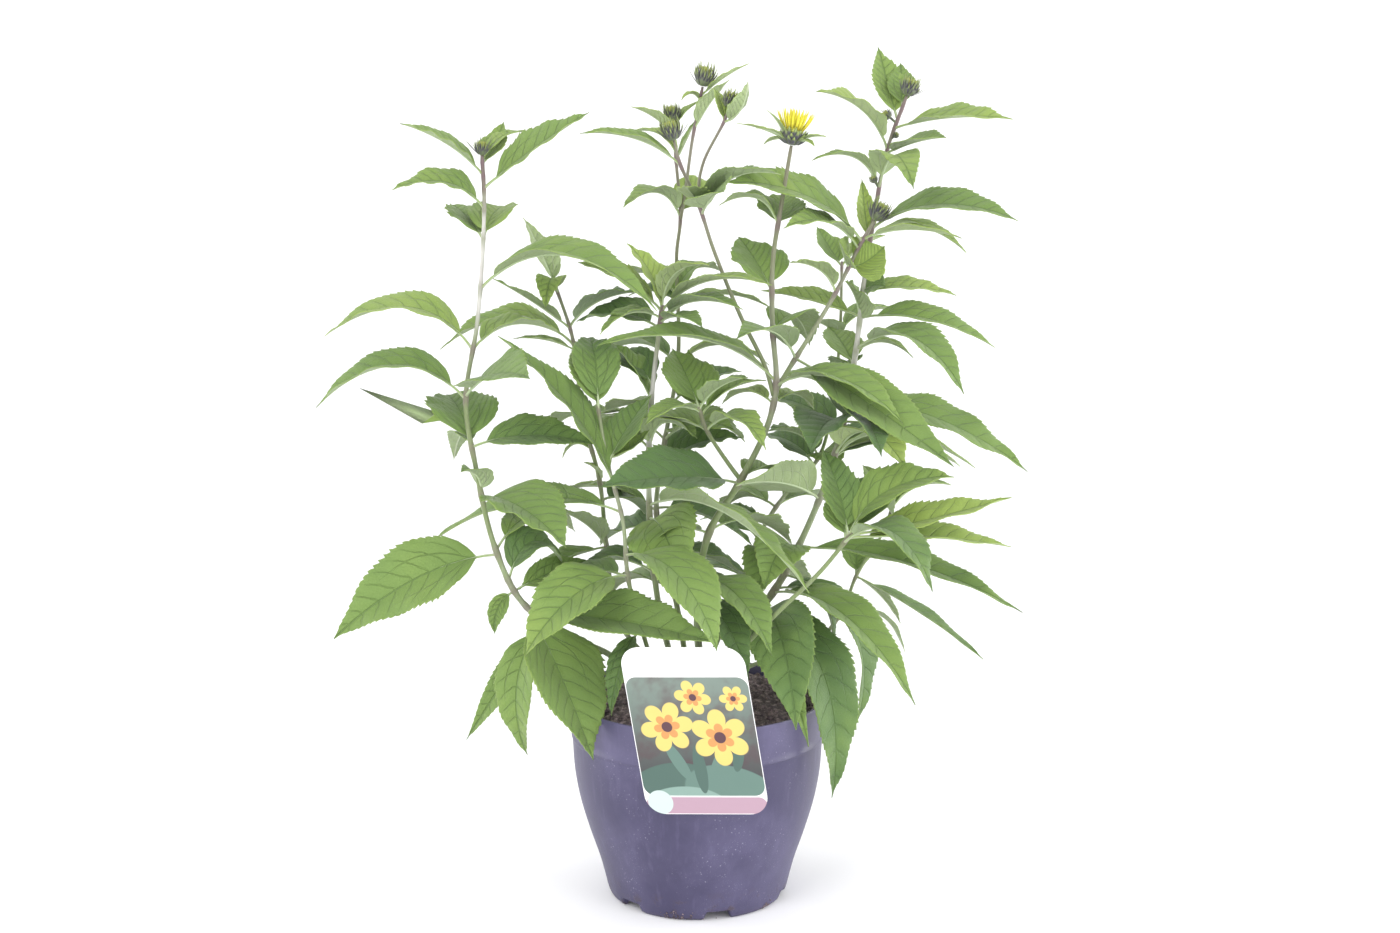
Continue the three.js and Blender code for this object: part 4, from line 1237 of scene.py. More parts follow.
class Leaf:
    """One leaf: a folded, gently waved and toothed blade on a round stalk and rib."""

    UPPER, UNDER, RIB, STEM = range(4)

    def __init__(self, form: LeafForm, root: np.ndarray, row: Sequence[float], seed: str,
                 age: float, toothed: bool = True) -> None:
        """Lays out the midrib.

        Args:
            form: Shared sizes.
            root: Where the stalk leaves the stem.
            row: Tip x, y, z, width, arch and roll.
            seed: Name of this leaf's own small differences.
            age: Nought for an old dark leaf, one for a young bright one.
            toothed: Whether the edge is serrated.
        """
        self.form, self.age = form, age
        self.chance = random.Random(seed)
        self.twist = self.chance.uniform(-form.twist, form.twist)
        tip = np.array(row[:3], float)
        self.width, arch, self.roll = row[3:]
        run = tip - root
        chord = float(np.linalg.norm(run))
        run = run / chord
        lift = unit(np.array(UP) - run[2] * run)
        first, second = (root + far * chord * run + high * arch * lift
                         for far, high in form.handles)
        s = np.linspace(0, 1, form.line_points)[:, None]
        self.line = Track((1 - s) ** 3 * root + 3 * (1 - s) ** 2 * s * first
                          + 3 * (1 - s) * s ** 2 * second + s ** 3 * tip)
        self.stalk = min(form.petiole, form.petiole_share * self.line.length)
        self.blade = self.line.length - self.stalk
        heading = unit(np.array((tip[0] - root[0], tip[1] - root[1], 0.0)))
        self.level = np.cross(heading, UP)
        self.teeth = max(4, round(self.blade / form.tooth_pitch)) if toothed else 0

    def rows(self) -> tuple[np.ndarray, np.ndarray]:
        """Rows along the leaf, as shares of the blade, and the tooth height of each.

        Returns:
            The shares and the tooth heights.
        """
        form = self.form
        rows = [(t, 0.0) for t in (-1.0, -0.5, 0.0, 0.015, 0.04, 0.08)]
        if self.teeth:
            pitch = (form.last_tooth - form.first_tooth) / self.teeth
            for k in range(self.teeth):
                t = form.first_tooth + k * pitch
                rows += [(t, 0.0), (t + 0.45 * pitch, 0.62), (t + 0.86 * pitch, 1.0)]
            rows += [(form.last_tooth, 0.0), (0.965, 0.0), (1.0, 0.0)]
        else:
            rows += [(t, 0.0) for t in np.linspace(0.13, 1.0, max(8, round(self.blade / 3)))]
        table = np.array(rows)
        return table[:, 0], table[:, 1]

    def frame_at(self, t: np.ndarray) -> tuple[np.ndarray, np.ndarray, np.ndarray]:
        """Midrib points and their directions.

        Args:
            t: Shares of the blade; below nought is on the stalk.

        Returns:
            Points, across directions and normals.
        """
        along = np.where(t < 0, (1 + t) * self.stalk, self.stalk + t * self.blade)
        slope = unit(np.gradient(self.line.points, axis=0))
        tangent = unit(self.line.read(along, slope))
        flat = unit(np.cross(self.level, tangent))
        turn = np.radians(self.roll) * np.minimum(1, along / self.line.length / self.form.roll_run)
        turn = (turn + np.radians(self.twist) * np.clip(t, 0, 1) ** 2)[:, None]
        across = self.level * np.cos(turn) + flat * np.sin(turn)
        return self.line.read(along), across, unit(np.cross(across, tangent))

    def build(self, shell: Shell) -> None:
        """Adds the leaf to a mesh in the making.

        Args:
            shell: The mesh in the making.
        """
        form, chance = self.form, self.chance
        rows, tooth = self.rows()
        sides = (*(-c for c in reversed(form.columns[1:])), *form.columns)
        verts, cell = shell.grid(len(sides) - 1, len(rows) - 1)
        u, t, bite = np.array(sides)[cell[:, 0]], rows[cell[:, 1]], tooth[cell[:, 1]]
        s = np.abs(u)
        small = min(1.0, self.blade / form.full_relief)
        smooth = form.width(t) * self.width / 2
        # the serrated edge, a little uneven from tooth to tooth
        outer = np.clip((s - 1 + form.toothed_band) / form.toothed_band, 0, 1)
        depth = min(form.deepest_share, 2 * form.tooth_depth / self.width)
        depth *= 0.75 + 0.5 * chance.random()
        uneven = 1 + 0.5 * np.sin(2.3 * cell[:, 1] + np.where(u > 0, 0.0, 1.7)
                                  + chance.uniform(0, 6))
        edge = smooth * (1 - depth * outer * (1 - bite * np.clip(uneven, 0.35, 1.3))
                         * (ramp(t, 0, form.first_tooth) if self.teeth else 0))
        half = np.maximum(edge, form.petiole_half * np.clip(1.6 - 1.6 * t, 0.12, 1))
        ahead = outer * bite * form.tooth_lean * small / max(self.blade, 1)
        centre, across, normal = self.frame_at(np.where(t > 0, np.clip(t + ahead, -1, 1), t))
        # the fold along the midrib, the waved edge and the quilting between the veins
        fold = math.radians(form.fold + chance.uniform(-3, 3))
        bow = 1.22 * s - 0.22 * s ** 3
        window = ramp(t, 0, 0.15) * ramp(1 - t, 0, 0.1)
        wave = np.zeros_like(t)
        for side in (-1, 1):
            count, phase = chance.uniform(2.2, 4.2), chance.uniform(0, math.tau)
            size = chance.uniform(0.3, 1.0) * form.wave * self.width
            wave += np.where(u * side > 0, size * s ** 2 * np.sin(count * math.tau * t + phase),
                             0.0)
        wide = s * smooth
        phase = SIDE_VEINS * (t - wide * (VEIN_LEAD + VEIN_CURVE * wide) / max(self.blade, 1))
        quilt = form.quilt * small * np.cos(phase * math.tau) * np.sin(math.pi * s) * window
        rise = half * math.sin(fold) * bow + wave * window + quilt + form.thickness / 2
        points = centre + (u * half)[:, None] * math.cos(fold) * across + rise[:, None] * normal
        tints = columns(self.age + 0 * t, chance.random(), np.maximum(smooth, 0.9) / TINT_HALF,
                        self.blade / TINT_BLADE)
        shell.write(verts, points, columns(0.5 + 0.5 * u, np.clip(t, 0, 1)), tints)
        faces = shell.faces_of(verts)
        shell.turn_to(faces, faces[len(faces) // 2], Vector(normal[len(normal) // 2]))
        below = shell.thicken(faces, form.thickness)
        shell.skin(faces, self.UPPER)
        shell.skin(below, self.UNDER)
        self.add_rib(shell)

    def add_rib(self, shell: Shell) -> None:
        """Adds the stalk and the midrib that stands proud under the blade.

        Args:
            shell: The mesh in the making.
        """
        t = np.concatenate([np.linspace(-1, 0, 6)[:-1], np.linspace(0, 0.93, 14)])
        centre, _, normal = self.frame_at(t)
        thick = np.interp(t, *self.form.rib_thick) * min(1.0, 0.55 + self.width / 90)
        sink = np.interp(t, *self.form.rib_sink) * thick
        tints = columns(np.interp(t, *self.form.rib_purple), 0.5, 0.0, 1.0)
        shell.tube(centre - normal * sink[:, None], thick, 8, tints, self.RIB, 0.9)


@dataclass
class LeafyStem:
    """A stem with its branches and leaves, in one piece.

    Attributes:
        name: Its node.
        axes: Its own axis first, then its branches.
        palette: The materials.
        ring_step: Length between two rings of its mesh.
        node_reach: How far along the stem a leaf's joint swells it.
        node_swell: Share that the joint adds to the radius.
        sides: Corners of a ring.
    """

    name: str
    axes: Sequence[Axis]
    palette: Palette
    ring_step: float = 5.0
    node_reach: float = 4.5
    node_swell: float = 0.3
    sides: int = 10

    def add_axis(self, shell: Shell, axis: Axis, line: SmoothLine) -> None:
        """Adds one tapering stem with its swollen nodes.

        Args:
            shell: The mesh in the making.
            axis: The stem or branch.
            line: Its smooth line.
        """
        share = np.linspace(0, 1, max(8, round(line.length / self.ring_step)))
        centres = line.at(share)
        near = np.zeros_like(share)
        for height in sorted({row[0] for row in axis.leaves}):
            away = (share - line.share_at_height(height)) * line.length
            near = np.maximum(near, np.exp(-(away / self.node_reach) ** 2))
        radii = np.interp(share, [0, 1], axis.radius) * (1 + self.node_swell * near)
        radii[-1] *= 0.8
        z = centres[:, 2]
        purple = np.clip(0.02 + 0.5 * near + 0.75 * ramp(z, 330, 660), 0, 0.95)
        pale = np.clip(0.08 + 0.12 * np.sin(z / 41 + centres[0, 0]), 0, 1)
        # painted highlight: where a bare stem is sunlit, the pale colour goes on nearly whole,
        # less at the nodes
        if self.name in SUNLIT_HIGHLIGHT_SPANS:
            low, top = SUNLIT_HIGHLIGHT_SPANS[self.name]
            sunlit_highlight = ramp(z, low, low + 30) * ramp(top - z, 0, 25)
            pale = np.maximum(pale, sunlit_highlight * (1 - 0.6 * near))
            purple = purple * (1 - 0.75 * sunlit_highlight)
        shell.tube(centres, radii, self.sides, columns(purple, pale, near, 1.0), Leaf.STEM)

    def age(self, seed: str, row: Row) -> float:
        """A leaf's age by its height and size: nought is old, one is young.

        Args:
            seed: Name of this leaf's own small differences.
            row: The leaf's row.

        Returns:
            The age.
        """
        own = random.Random(seed + "age").uniform(-0.2, 0.28)
        age = 0.22 + 0.42 * (row[0] - 180) / 420 + own + 0.18 * max(0.0, 1 - row[4] / 40)
        return min(1.0, max(0.0, age))

    def build(self) -> bpy.types.Object:
        """Builds the piece.

        Returns:
            The piece.
        """
        shell, form = Shell(), LeafForm()
        ages = AGES.get(self.name, {})
        for a, axis in enumerate(self.axes):
            line = SmoothLine(axis.line)
            self.add_axis(shell, axis, line)
            inner = INNER_LEAVES.get(self.name, ()) if a == 0 else ()
            for k, row in enumerate((*axis.leaves, *inner)):
                seed = f"{self.name}/{a}/{k}"
                age = ages.get(f"{a}/{k}", self.age(seed, row) if k < len(axis.leaves)
                               else INNER_AGE)
                Leaf(form, line.at_height(row[0]), row[1:], seed, age).build(shell)
        skins = self.palette
        return shell.finish(self.name + "_leafy", (skins.upper, skins.under, skins.rib,
                                                   skins.stem), "foliage", (self.name,))


# ------------------------------------------------------------------ flower heads
@dataclass
class Head:
    """The parts that every flower head is made of, in its own upright frame.

    Attributes:
        stem: The stem that carries it.
        axis: Number of the stem's axis that ends in it.
        gap: Space between the stem's end and the head.
    """

    stem: str
    axis: int
    gap: float = 0.3

    def line(self) -> SmoothLine:
        """The line of the stem or branch that carries the head."""
        return SmoothLine(STEMS[self.stem][self.axis].line)

    def seat(self) -> Matrix:
        """The move from the head's own frame to the top of its stem.

        Returns:
            The move.
        """
        line = self.line()
        along = line.end_direction()
        return lift_matrix(Vector(line.points[-1]) + self.gap * along, along)

    def cup(self, shell: Shell, profile: Sequence[tuple[float, float]], slot: int) -> None:
        """Turns the closed cup from radius and height pairs.

        Args:
            shell: The mesh in the making.
            profile: Radius and height pairs.
            slot: Material slot.
        """
        shell.lathe(profile, 24)
        top = max(z for _, z in profile)
        for vert in shell.bm.verts:
            shell.mark(vert, 0.5, vert.co.z / top, (0.0, 0.2, 0.0, 1.0))
        shell.skin(shell.bm.faces, slot)

    def blade(self, shell: Shell, foot: Vector, tip: Vector, out: Vector, half: float,
              hook: float, thick: float, slot: int, own: float, rows: int = 6) -> None:
        """Adds one narrow keeled bract or rolled ray.

        Args:
            shell: The mesh in the making.
            foot: Where it starts.
            tip: Where it ends.
            out: The way that its back faces.
            half: Half its width.
            hook: How far its middle stands outwards.
            thick: Its thickness.
            slot: Material slot.
            own: Its own small difference of colour.
            rows: Cells along.
        """
        verts, cell = shell.grid(4, rows)
        u, t = cell[:, 0] / 2 - 1.0, cell[:, 1] / rows
        run = tip - foot
        across = run.cross(out).normalized()
        shape = np.sin(np.pi * np.clip(0.18 + 0.82 * t, 0, 1)) ** 0.7
        shape = np.where(t > 0.99, 0.06, shape)
        keel = hook * np.sin(np.pi * t) - u ** 2 * half * 0.75 * shape
        points = np.array(foot) + np.outer(t, run) + np.outer(u * half * shape, across) \
            + np.outer(keel, out)
        shell.write(verts, points, columns(0.5 + 0.5 * u, t), columns(0 * t, own, 0.0, 1.0))
        faces = shell.faces_of(verts)
        shell.skin([*faces, *shell.thicken(faces, thick)], slot)

    def close(self, shell: Shell, name: str, materials: Sequence[bpy.types.Material],
              slot: str, nodes: Sequence[str]) -> bpy.types.Object:
        """Seats the head on its stem and finishes the piece."""
        bmesh.ops.transform(shell.bm, matrix=self.seat(), verts=shell.bm.verts)
        return shell.finish(name, materials, slot, nodes)


@dataclass
class Bud(Head):
    """A closed head: a round cup in rings of dark pointed bracts, with green florets.

    Attributes:
        name: What the piece is called after.
        nodes: The nodes it stands for.
        radius: Of the cup.
        bracts: How many in a ring.
        needles: How far the lowest, thinnest bracts reach, against the usual.
        stalk: Length of its own stalk.
    """

    name: str = ""
    nodes: tuple[str, ...] = ()
    radius: float = 6.0
    bracts: int = 12
    needles: float = 1.0
    stalk: float = 0.0

    BRACT, CUP, FLORET, NEEDLE = range(4)  # material slots
    florets: int = 26
    # radius in cup radii and height in cup heights
    outline: Profile = ((0, 0), (0.3, 0), (0.62, 0.12), (0.9, 0.4), (0.96, 0.7), (0.72, 0.98),
                        (0.3, 1.12), (0, 1.16))
    # level, reach, rise, hook, half width and slot of each ring
    rings: tuple[Row, ...] = (
        (0.08, 1.9, 1.3, 0.1, 0.07, NEEDLE), (0.14, 1.34, 1.4, 0.16, 0.12, BRACT),
        (0.3, 1.2, 1.8, 0.2, 0.12, BRACT), (0.5, 0.92, 2.15, 0.18, 0.11, BRACT))

    def build(self, palette: Palette) -> bpy.types.Object:
        """Builds the piece.

        Args:
            palette: The materials.

        Returns:
            The piece.
        """
        shell, r, chance = Shell(), self.radius, random.Random(self.name)
        height = 1.25 * r
        self.cup(shell, [(x * r, z * height) for x, z in self.outline], self.CUP)
        for ring, (level, reach, rise, hook, half, slot) in enumerate(self.rings):
            count = self.bracts * 2 // 3 if slot == self.NEEDLE else self.bracts
            for k in range(count):
                out = ray(math.tau * (k + 0.37 * ring + chance.uniform(-0.16, 0.16)) / count)
                away = reach * chance.uniform(0.8, 1.14) * r
                foot = raised(out * r * (0.55 + 0.35 * level), level * height)
                tip = raised(out * away, rise * chance.uniform(0.8, 1.1) * height)
                if slot == self.NEEDLE:
                    tip = foot + (tip - foot) * self.needles
                self.blade(shell, foot, tip, out, half * r, hook * r, 0.28, slot,
                           chance.random())
        for k in range(self.florets):
            out, far = ray(2.4 * k), 0.62 * r * math.sqrt(k / self.florets)
            foot = raised(out * far, height * 0.95)
            self.blade(shell, foot, raised(foot, 0.8 * height) + out * 0.25 * r, out,
                       0.1 * r, 0.02 * r, 0.22, self.FLORET, chance.random(), 3)
        if self.stalk:
            line = columns(0.0, 0.0, np.linspace(-self.stalk, 0, 5))
            shell.tube(line, np.full(5, 0.3 * r), 8, np.tile((0.0, 0.3, 0.0, 1.0), (5, 1)),
                       self.CUP)
        return self.close(shell, self.name + "_head",
                          (palette.bract, palette.cup, palette.floret, palette.needle),
                          "bud_green", self.nodes)


@dataclass
class SideBud(Bud):
    """A small bud on a short stalk in the corner of a leaf, part way up a stem.

    Attributes:
        level: Height of the corner.
        lean: The way that its stalk points.
    """

    level: float = 0.0
    lean: Point = UP

    def seat(self) -> Matrix:
        """The move from the bud's own frame to its place beside the stem."""
        away = Vector(self.lean).normalized()
        return lift_matrix(Vector(self.line().at_height(self.level)) + self.stalk * away, away)


@dataclass
class Bloom(Head):
    """The one head that opens: a dark cup, small leaves and upright rolled yellow rays."""

    radius: float = 9.0
    cup_height: float = 9.0
    ray_length: float = 19.0
    sepal_width: float = 9.0

    LEAF_SLOTS = 4  # the cup's first material slots are a leaf's
    bracts: int = 13
    # level, reach and rise of each ring of bracts
    bract_rings: tuple[Row, ...] = ((0.1, 1.35, 0.75), (0.35, 1.3, 1.15), (0.6, 1.15, 1.45))
    # radius in cup radii and height in cup heights, of the cup and of the disc
    outline: Profile = (
        (0, 0), (0.26, 0), (0.6, 0.1), (0.84, 0.4), (0.98, 0.8), (0.96, 1), (0, 1))
    disc: Profile = ((0.8, 1.2), (0.6, 1.5), (0.25, 1.66), (0, 1.7))
    # tips of the small leaves
    sepals: tuple[Point, ...] = (
        (-22, -6, 22), (-42, 2, 9), (-28, -12, 8), (24, -6, 10), (16, -14, 2), (-20, 10, -3))
    # how many, where they start, reach, length and half width of each ring of rays
    ray_rings: tuple[Row, ...] = (
        (21, 0.72, 1.58, 0.94, 0.85), (17, 0.55, 1.12, 1.0, 0.85), (11, 0.3, 0.55, 0.98, 0.8))

    def build_cup(self, palette: Palette) -> bpy.types.Object:
        """Builds the green cup with its bracts and small leaves.

        Args:
            palette: The materials.

        Returns:
            The piece.
        """
        shell, r, h = Shell(), self.radius, self.cup_height
        self.cup(shell, [(x * r, z * h) for x, z in self.outline], self.LEAF_SLOTS + 1)
        chance = random.Random("bloom")
        for ring, (level, reach, rise) in enumerate(self.bract_rings):
            for k in range(self.bracts):
                out = ray(math.tau * (k + 0.4 * ring + chance.uniform(-0.15, 0.15))
                          / self.bracts)
                foot = raised(out * r * (0.55 + 0.45 * level), level * h)
                tip = out * r * reach * chance.uniform(0.85, 1.05)
                tip = raised(tip, rise * h * chance.uniform(0.85, 1.1))
                self.blade(shell, foot, tip, out, 0.16 * r, 0.1 * r, 0.35, self.LEAF_SLOTS,
                           chance.random())
        form = LeafForm(thickness=0.4, quilt=0.0)
        for k, tip in enumerate(self.sepals):
            turn = math.atan2(tip[1], tip[0])
            root = np.array((0.6 * r * math.cos(turn), 0.6 * r * math.sin(turn), 0.4 * h))
            Leaf(form, root, (*tip, self.sepal_width, 2, 0), f"sepal/{k}", 0.85,
                 False).build(shell)
        return self.close(shell, "bloom_cup_head",
                          (palette.upper, palette.under, palette.rib, palette.stem,
                           palette.bract, palette.cup), "bud_green", ("bloom_cup",))

    def build_rays(self, palette: Palette) -> bpy.types.Object:
        """Builds the yellow rays and the disc between them.

        Args:
            palette: The materials.

        Returns:
            The piece.
        """
        shell, r, h = Shell(), self.radius, self.cup_height
        seat = h + self.gap
        self.cup(shell, [(0, seat), (0.78 * r, seat), *((x * r, z * h) for x, z in self.disc)],
                 1)
        chance = random.Random("rays")
        for count, far, reach, length, half in self.ray_rings:
            for k in range(count):
                out = ray(math.tau * (k + chance.uniform(-0.25, 0.25)) / count)
                tip = out * reach * r * chance.uniform(0.85, 1.08)
                tip = raised(tip, h + length * self.ray_length * chance.uniform(0.78, 1.0))
                self.blade(shell, raised(out * far * r, 1.15 * h), tip, out,
                           half * chance.uniform(0.8, 1.1), 0.1 * r, 0.4, 0, chance.random(), 8)
        return self.close(shell, "bloom_rays_head", (palette.ray, palette.floret),
                          "ray_yellow", ("bloom_rays",))


# ------------------------------------------------------------------ pot, soil and label
@dataclass
class Pot:
    """The turned plastic pot with its seam line, thin rim and notched foot."""

    height: float = 157.0
    wall: float = 2.0
    notches: int = 6
    first_notch: float = -77.0  # degrees round the foot
    notch_height: float = 7.0
    notch_half: float = 9.2  # degrees from a notch's middle to where its side ends
    notch_side: float = 1.6  # degrees that its side takes
    steps: int = 180
    sharp: float = 42.0  # degrees between faces that makes an edge sharp

    # height and radius up the outside between the foot and the seam
    outline: Profile = (
        (8, 70.4), (14, 71.8), (30, 76), (54, 84), (78, 90.8), (100, 94.6), (124.5, 96.2))
    # radius and height of the recessed underside with its ring, of the collar with the seam
    # and rim, of the inside of the collar and of the inside floor
    foot: Profile = (
        (0, 5.5), (30, 5.5), (60.5, 5.5), (62.6, 4.8), (63.4, 3.2), (63.8, 0.5), (64.3, 0),
        (65.6, 0), (66.5, 0.4), (68.2, 2), (69.2, 4), (70.1, 7.1))
    collar: Profile = (
        (96.3, 125.8), (96.6, 126.6), (97.0, 127.0), (97.0, 127.8), (96.45, 128.5), (96.6, 134),
        (96.95, 144), (97.2, 151), (97.45, 154.6), (97.5, 156.2), (97.25, 156.8), (96.8, 157),
        (96.1, 157), (95.65, 156.7), (95.45, 156))
    inner: Profile = ((94.9, 148), (94.5, 134), (94.3, 124))
    floor: Profile = ((63.5, 8.5), (30, 8.2), (0, 8.2))
    notched_from: float = 61.5  # radius of the foot's inner side

    def profile(self) -> list[tuple[float, float]]:
        """The closed section, as radius and height, from the underside to the inside floor.

        Returns:
            Radius and height pairs.
        """
        line = SmoothLine([(r, 0.0, z) for z, r in self.outline])
        belly = [(float(r), float(z)) for r, _, z in line.at(np.linspace(0, 1, 26))]
        down = [(r - self.wall, z) for r, z in reversed(belly[2:])]
        return [*self.foot, *belly, *self.collar, *self.inner, *down, *self.floor]

    def notch(self, angle: float) -> float:
        """Share of a notch's height that is cut at an angle round the foot."""
        off = min(abs((angle - self.first_notch - 360 * k / self.notches + 180) % 360 - 180)
                  for k in range(self.notches))
        return min(1.0, max(0.0, (self.notch_half - off) / self.notch_side))

    def build(self, palette: Palette) -> bpy.types.Object:
        """Builds the piece.

        Args:
            palette: The materials.

        Returns:
            The piece.
        """
        shell = Shell()
        shell.lathe(self.profile(), self.steps)
        for vert in shell.bm.verts:
            x, y, z = vert.co
            turn = math.atan2(y, x)
            if math.hypot(x, y) > self.notched_from and z < self.notch_height + 0.4:
                vert.co.z = max(z, self.notch(math.degrees(turn))
                                * (self.notch_height + 0.1 * z))
            shell.mark(vert, turn / math.tau + 0.5, z / self.height)
        shell.skin(shell.bm.faces, 0)
        piece = shell.finish("pot_shell", (palette.pot,), "pot_plastic", ("pot",))
        piece.data.set_sharp_from_angle(angle=math.radians(self.sharp))
        return piece


@dataclass
class Soil:
    """The crumbly top of the filled pot, with loose crumbs on it."""

    edge: float = 148.0
    crown: float = 13.0
    radius: float = 94.2
    bottom: float = 118.0
    taper: float = 0.965  # of the soil's radius at its bottom against its top
    crumbs: int = 620
    cells: int = 150
    # middle in degrees, spread in degrees and number of each patch of crumbs at the foot
    spills: tuple[tuple[float, float, int], ...] = ((-104.0, 7.0, 60), (-40.0, 6.0, 26),
                                                    (-93.0, 14.0, 16))
    foot_outside: tuple[Row, Row] = ((0, 3, 14), (66, 69, 71.8))  # height, radius of the foot

    def height(self, x: float, y: float) -> float:
        """Height of the soil at a place.

        Args:
            x: Place from side to side.
            y: Place from front to back.

        Returns:
            The height.
        """
        reach = min(1.0, math.hypot(x, y) / self.radius)
        wave = math.sin(0.31 * x + 1.1) * math.cos(0.27 * y) + 0.6 * math.sin(0.53 * (x - y))
        rough = noise.fractal(Vector((x, y, 3.0)) / 9, 1.0, 2.0, 5)
        return self.edge + self.crown * (1 - reach ** 2) + 1.3 * wave * (1 - 0.6 * reach) \
            + 1.7 * rough

    def crumb(self, shell: Shell, at: Vector, size: float, chance: random.Random) -> None:
        """Adds one rough crumb.

        Args:
            shell: The mesh in the making.
            at: Its place.
            size: Its radius.
            chance: The random draws.
        """
        made = bmesh.ops.create_icosphere(shell.bm, subdivisions=1, radius=size)["verts"]
        stretch = [chance.uniform(0.6, 1.25) for _ in range(3)]
        turn = Matrix.Rotation(chance.uniform(0, 6.28), 3, Vector(
            (chance.random(), chance.random(), 0.3)).normalized())
        for vert in made:
            bump = 1 + 0.35 * noise.noise(vert.co * 1.7 + at)
            vert.co = at + turn @ Vector(c * s * bump for c, s in zip(vert.co, stretch))

    def build(self, palette: Palette) -> bpy.types.Object:
        """Builds the soil.

        Args:
            palette: The materials.

        Returns:
            The piece.
        """
        shell = Shell()
        verts, cell = shell.grid(self.cells, self.cells)
        for vert, (a, b) in zip(verts, (cell / (self.cells / 2) - 1).tolist()):
            x = self.radius * a * math.sqrt(1 - b * b / 2)
            y = self.radius * b * math.sqrt(1 - a * a / 2)
            vert.co = (x, y, self.height(x, y))
        rim = [edge for edge in shell.bm.edges if edge.is_boundary]
        wall = bmesh.ops.extrude_edge_only(shell.bm, edges=rim)["geom"]
        for vert in (item for item in wall if isinstance(item, bmesh.types.BMVert)):
            vert.co = (vert.co.x * self.taper, vert.co.y * self.taper, self.bottom)
        bmesh.ops.holes_fill(shell.bm, edges=[e for e in shell.bm.edges if e.is_boundary])
        chance = random.Random("soil")
        for _ in range(self.crumbs):
            turn = chance.uniform(0, math.tau)
            far = (self.radius - 3.5) * math.sqrt(chance.random())
            x, y = far * math.cos(turn), far * math.sin(turn)
            size = 0.7 + 2.1 * chance.random() ** 3
            self.crumb(shell, Vector((x, y, self.height(x, y) + 0.35 * size)), size, chance)
        for vert in shell.bm.verts:
            shell.mark(vert, vert.co.x / 200 + 0.5, vert.co.y / 200 + 0.5)
        return shell.finish("soil_bed", (palette.soil,), "soil", ("soil",))

    def build_spill(self, palette: Palette) -> bpy.types.Object:
        """Builds the few crumbs that stick to the foot of the pot.

        Args:
            palette: The materials.

        Returns:
            The piece.
        """
        shell, chance = Shell(), random.Random("spill")
        for centre, spread, count in self.spills:
            for _ in range(count):
                turn = math.radians(chance.gauss(centre, spread / 2))
                up = abs(chance.gauss(0, 3.4))
                size = 0.3 + 0.65 * chance.random() ** 2
                reach = float(np.interp(up, *self.foot_outside)) + 0.2 * size
                self.crumb(shell, Vector((reach * math.cos(turn), reach * math.sin(turn),
                                          max(up, size))), size, chance)
        for vert in shell.bm.verts:
            vert.co.z = max(vert.co.z, 0.05)
            shell.mark(vert)
        return shell.finish("soil_spill", (palette.soil,), "soil", ())


@dataclass
class Label:
    """A folded plant card: its printed front hangs outside the rim, its tongue inside."""

    width: float = 89.0
    height: float = 125.0
    corner: float = 14.0
    card: float = 0.6
    lean: float = 9.3  # degrees, sideways
    centre: float = -12.0
    top: float = 220.0
    face: float = -98.7
    tongue_width: float = 40.0
    tongue_reach: float = 14.0
    tongue_foot: float = 132.0
    cells: tuple[int, int] = (12, 18)  # across and down the panel
    tongue_cells: tuple[int, int] = (6, 30)

    PRINT, BACK = range(2)  # material slots

    def slant(self, x: float, z: float) -> float:
        """Sideways place of a card point."""
        return x - math.tan(math.radians(self.lean)) * (z - self.top) + self.centre

    def cut(self, shell: Shell, normal: Point, at: Point) -> None:
        """Cuts the whole panel along a plane."""
        whole = [*shell.bm.verts, *shell.bm.edges, *shell.bm.faces]
        bmesh.ops.bisect_plane(shell.bm, geom=whole, plane_no=normal, plane_co=at)

    def panel(self, shell: Shell) -> None:
        """Adds the front panel with round corners.

        Args:
            shell: The mesh in the making.
        """
        verts = bmesh.ops.create_grid(shell.bm, x_segments=1, y_segments=1, size=0.5)["verts"]
        for vert in verts:
            vert.co = (vert.co.x * self.width, self.face,
                       self.top - self.height / 2 + vert.co.y * self.height)
        bmesh.ops.bevel(shell.bm, geom=verts, offset=self.corner, segments=10, profile=0.5,
                        affect="VERTICES", material=-1)
        across, down = self.cells
        for k in range(1, down):
            self.cut(shell, UP, (0, 0, self.top - self.height * k / down))
        for k in range(1, across):
            self.cut(shell, (1, 0, 0), (self.width * (k / across - 0.5), 0, 0))
        for vert in shell.bm.verts:
            x, _, z = vert.co
            low, side = (self.top - z) / self.height, 2 * x / self.width
            bow = 1.1 * math.sin(math.pi * low) * (1 - side ** 2) + 0.8 * low ** 3 * side
            shell.mark(vert, x / self.width + 0.5, (z - self.top + self.height) / self.height)
            vert.co = (self.slant(x, z), self.face - 0.6 * bow, z)
        faces = list(shell.bm.faces)
        shell.turn_to(faces, faces[0], Vector((0, -1, 0)))
        shell.skin(shell.thicken(faces, self.card), self.BACK, False)

    def tongue(self, shell: Shell) -> None:
        """Adds the fold and the tongue that is pushed into the soil.

        Args:
            shell: The mesh in the making.
        """
        across, along = self.tongue_cells
        verts, cell = shell.grid(across, along)
        for vert, (i, j) in zip(verts, cell.tolist()):
            x, down = (i / across - 0.5) * self.tongue_width, j / along
            z = self.top - 0.2 - (self.top - self.tongue_foot) * down
            back = self.card + self.tongue_reach * down + 0.8 * math.sin(math.pi * down)
            vert.co = (self.slant(x, z), self.face + back, z)
            shell.mark(vert, 0.5, 0.99)
        faces = shell.faces_of(verts)
        shell.skin([*faces, *shell.thicken(faces, self.card)], self.BACK, False)

    def build(self, palette: Palette) -> bpy.types.Object:
        """Builds the piece.

        Args:
            palette: The materials.

        Returns:
            The piece.
        """
        shell = Shell()
        self.panel(shell)
        self.tongue(shell)
        return shell.finish("label_folded", (palette.label, palette.card), "label_card",
                            ("label",))


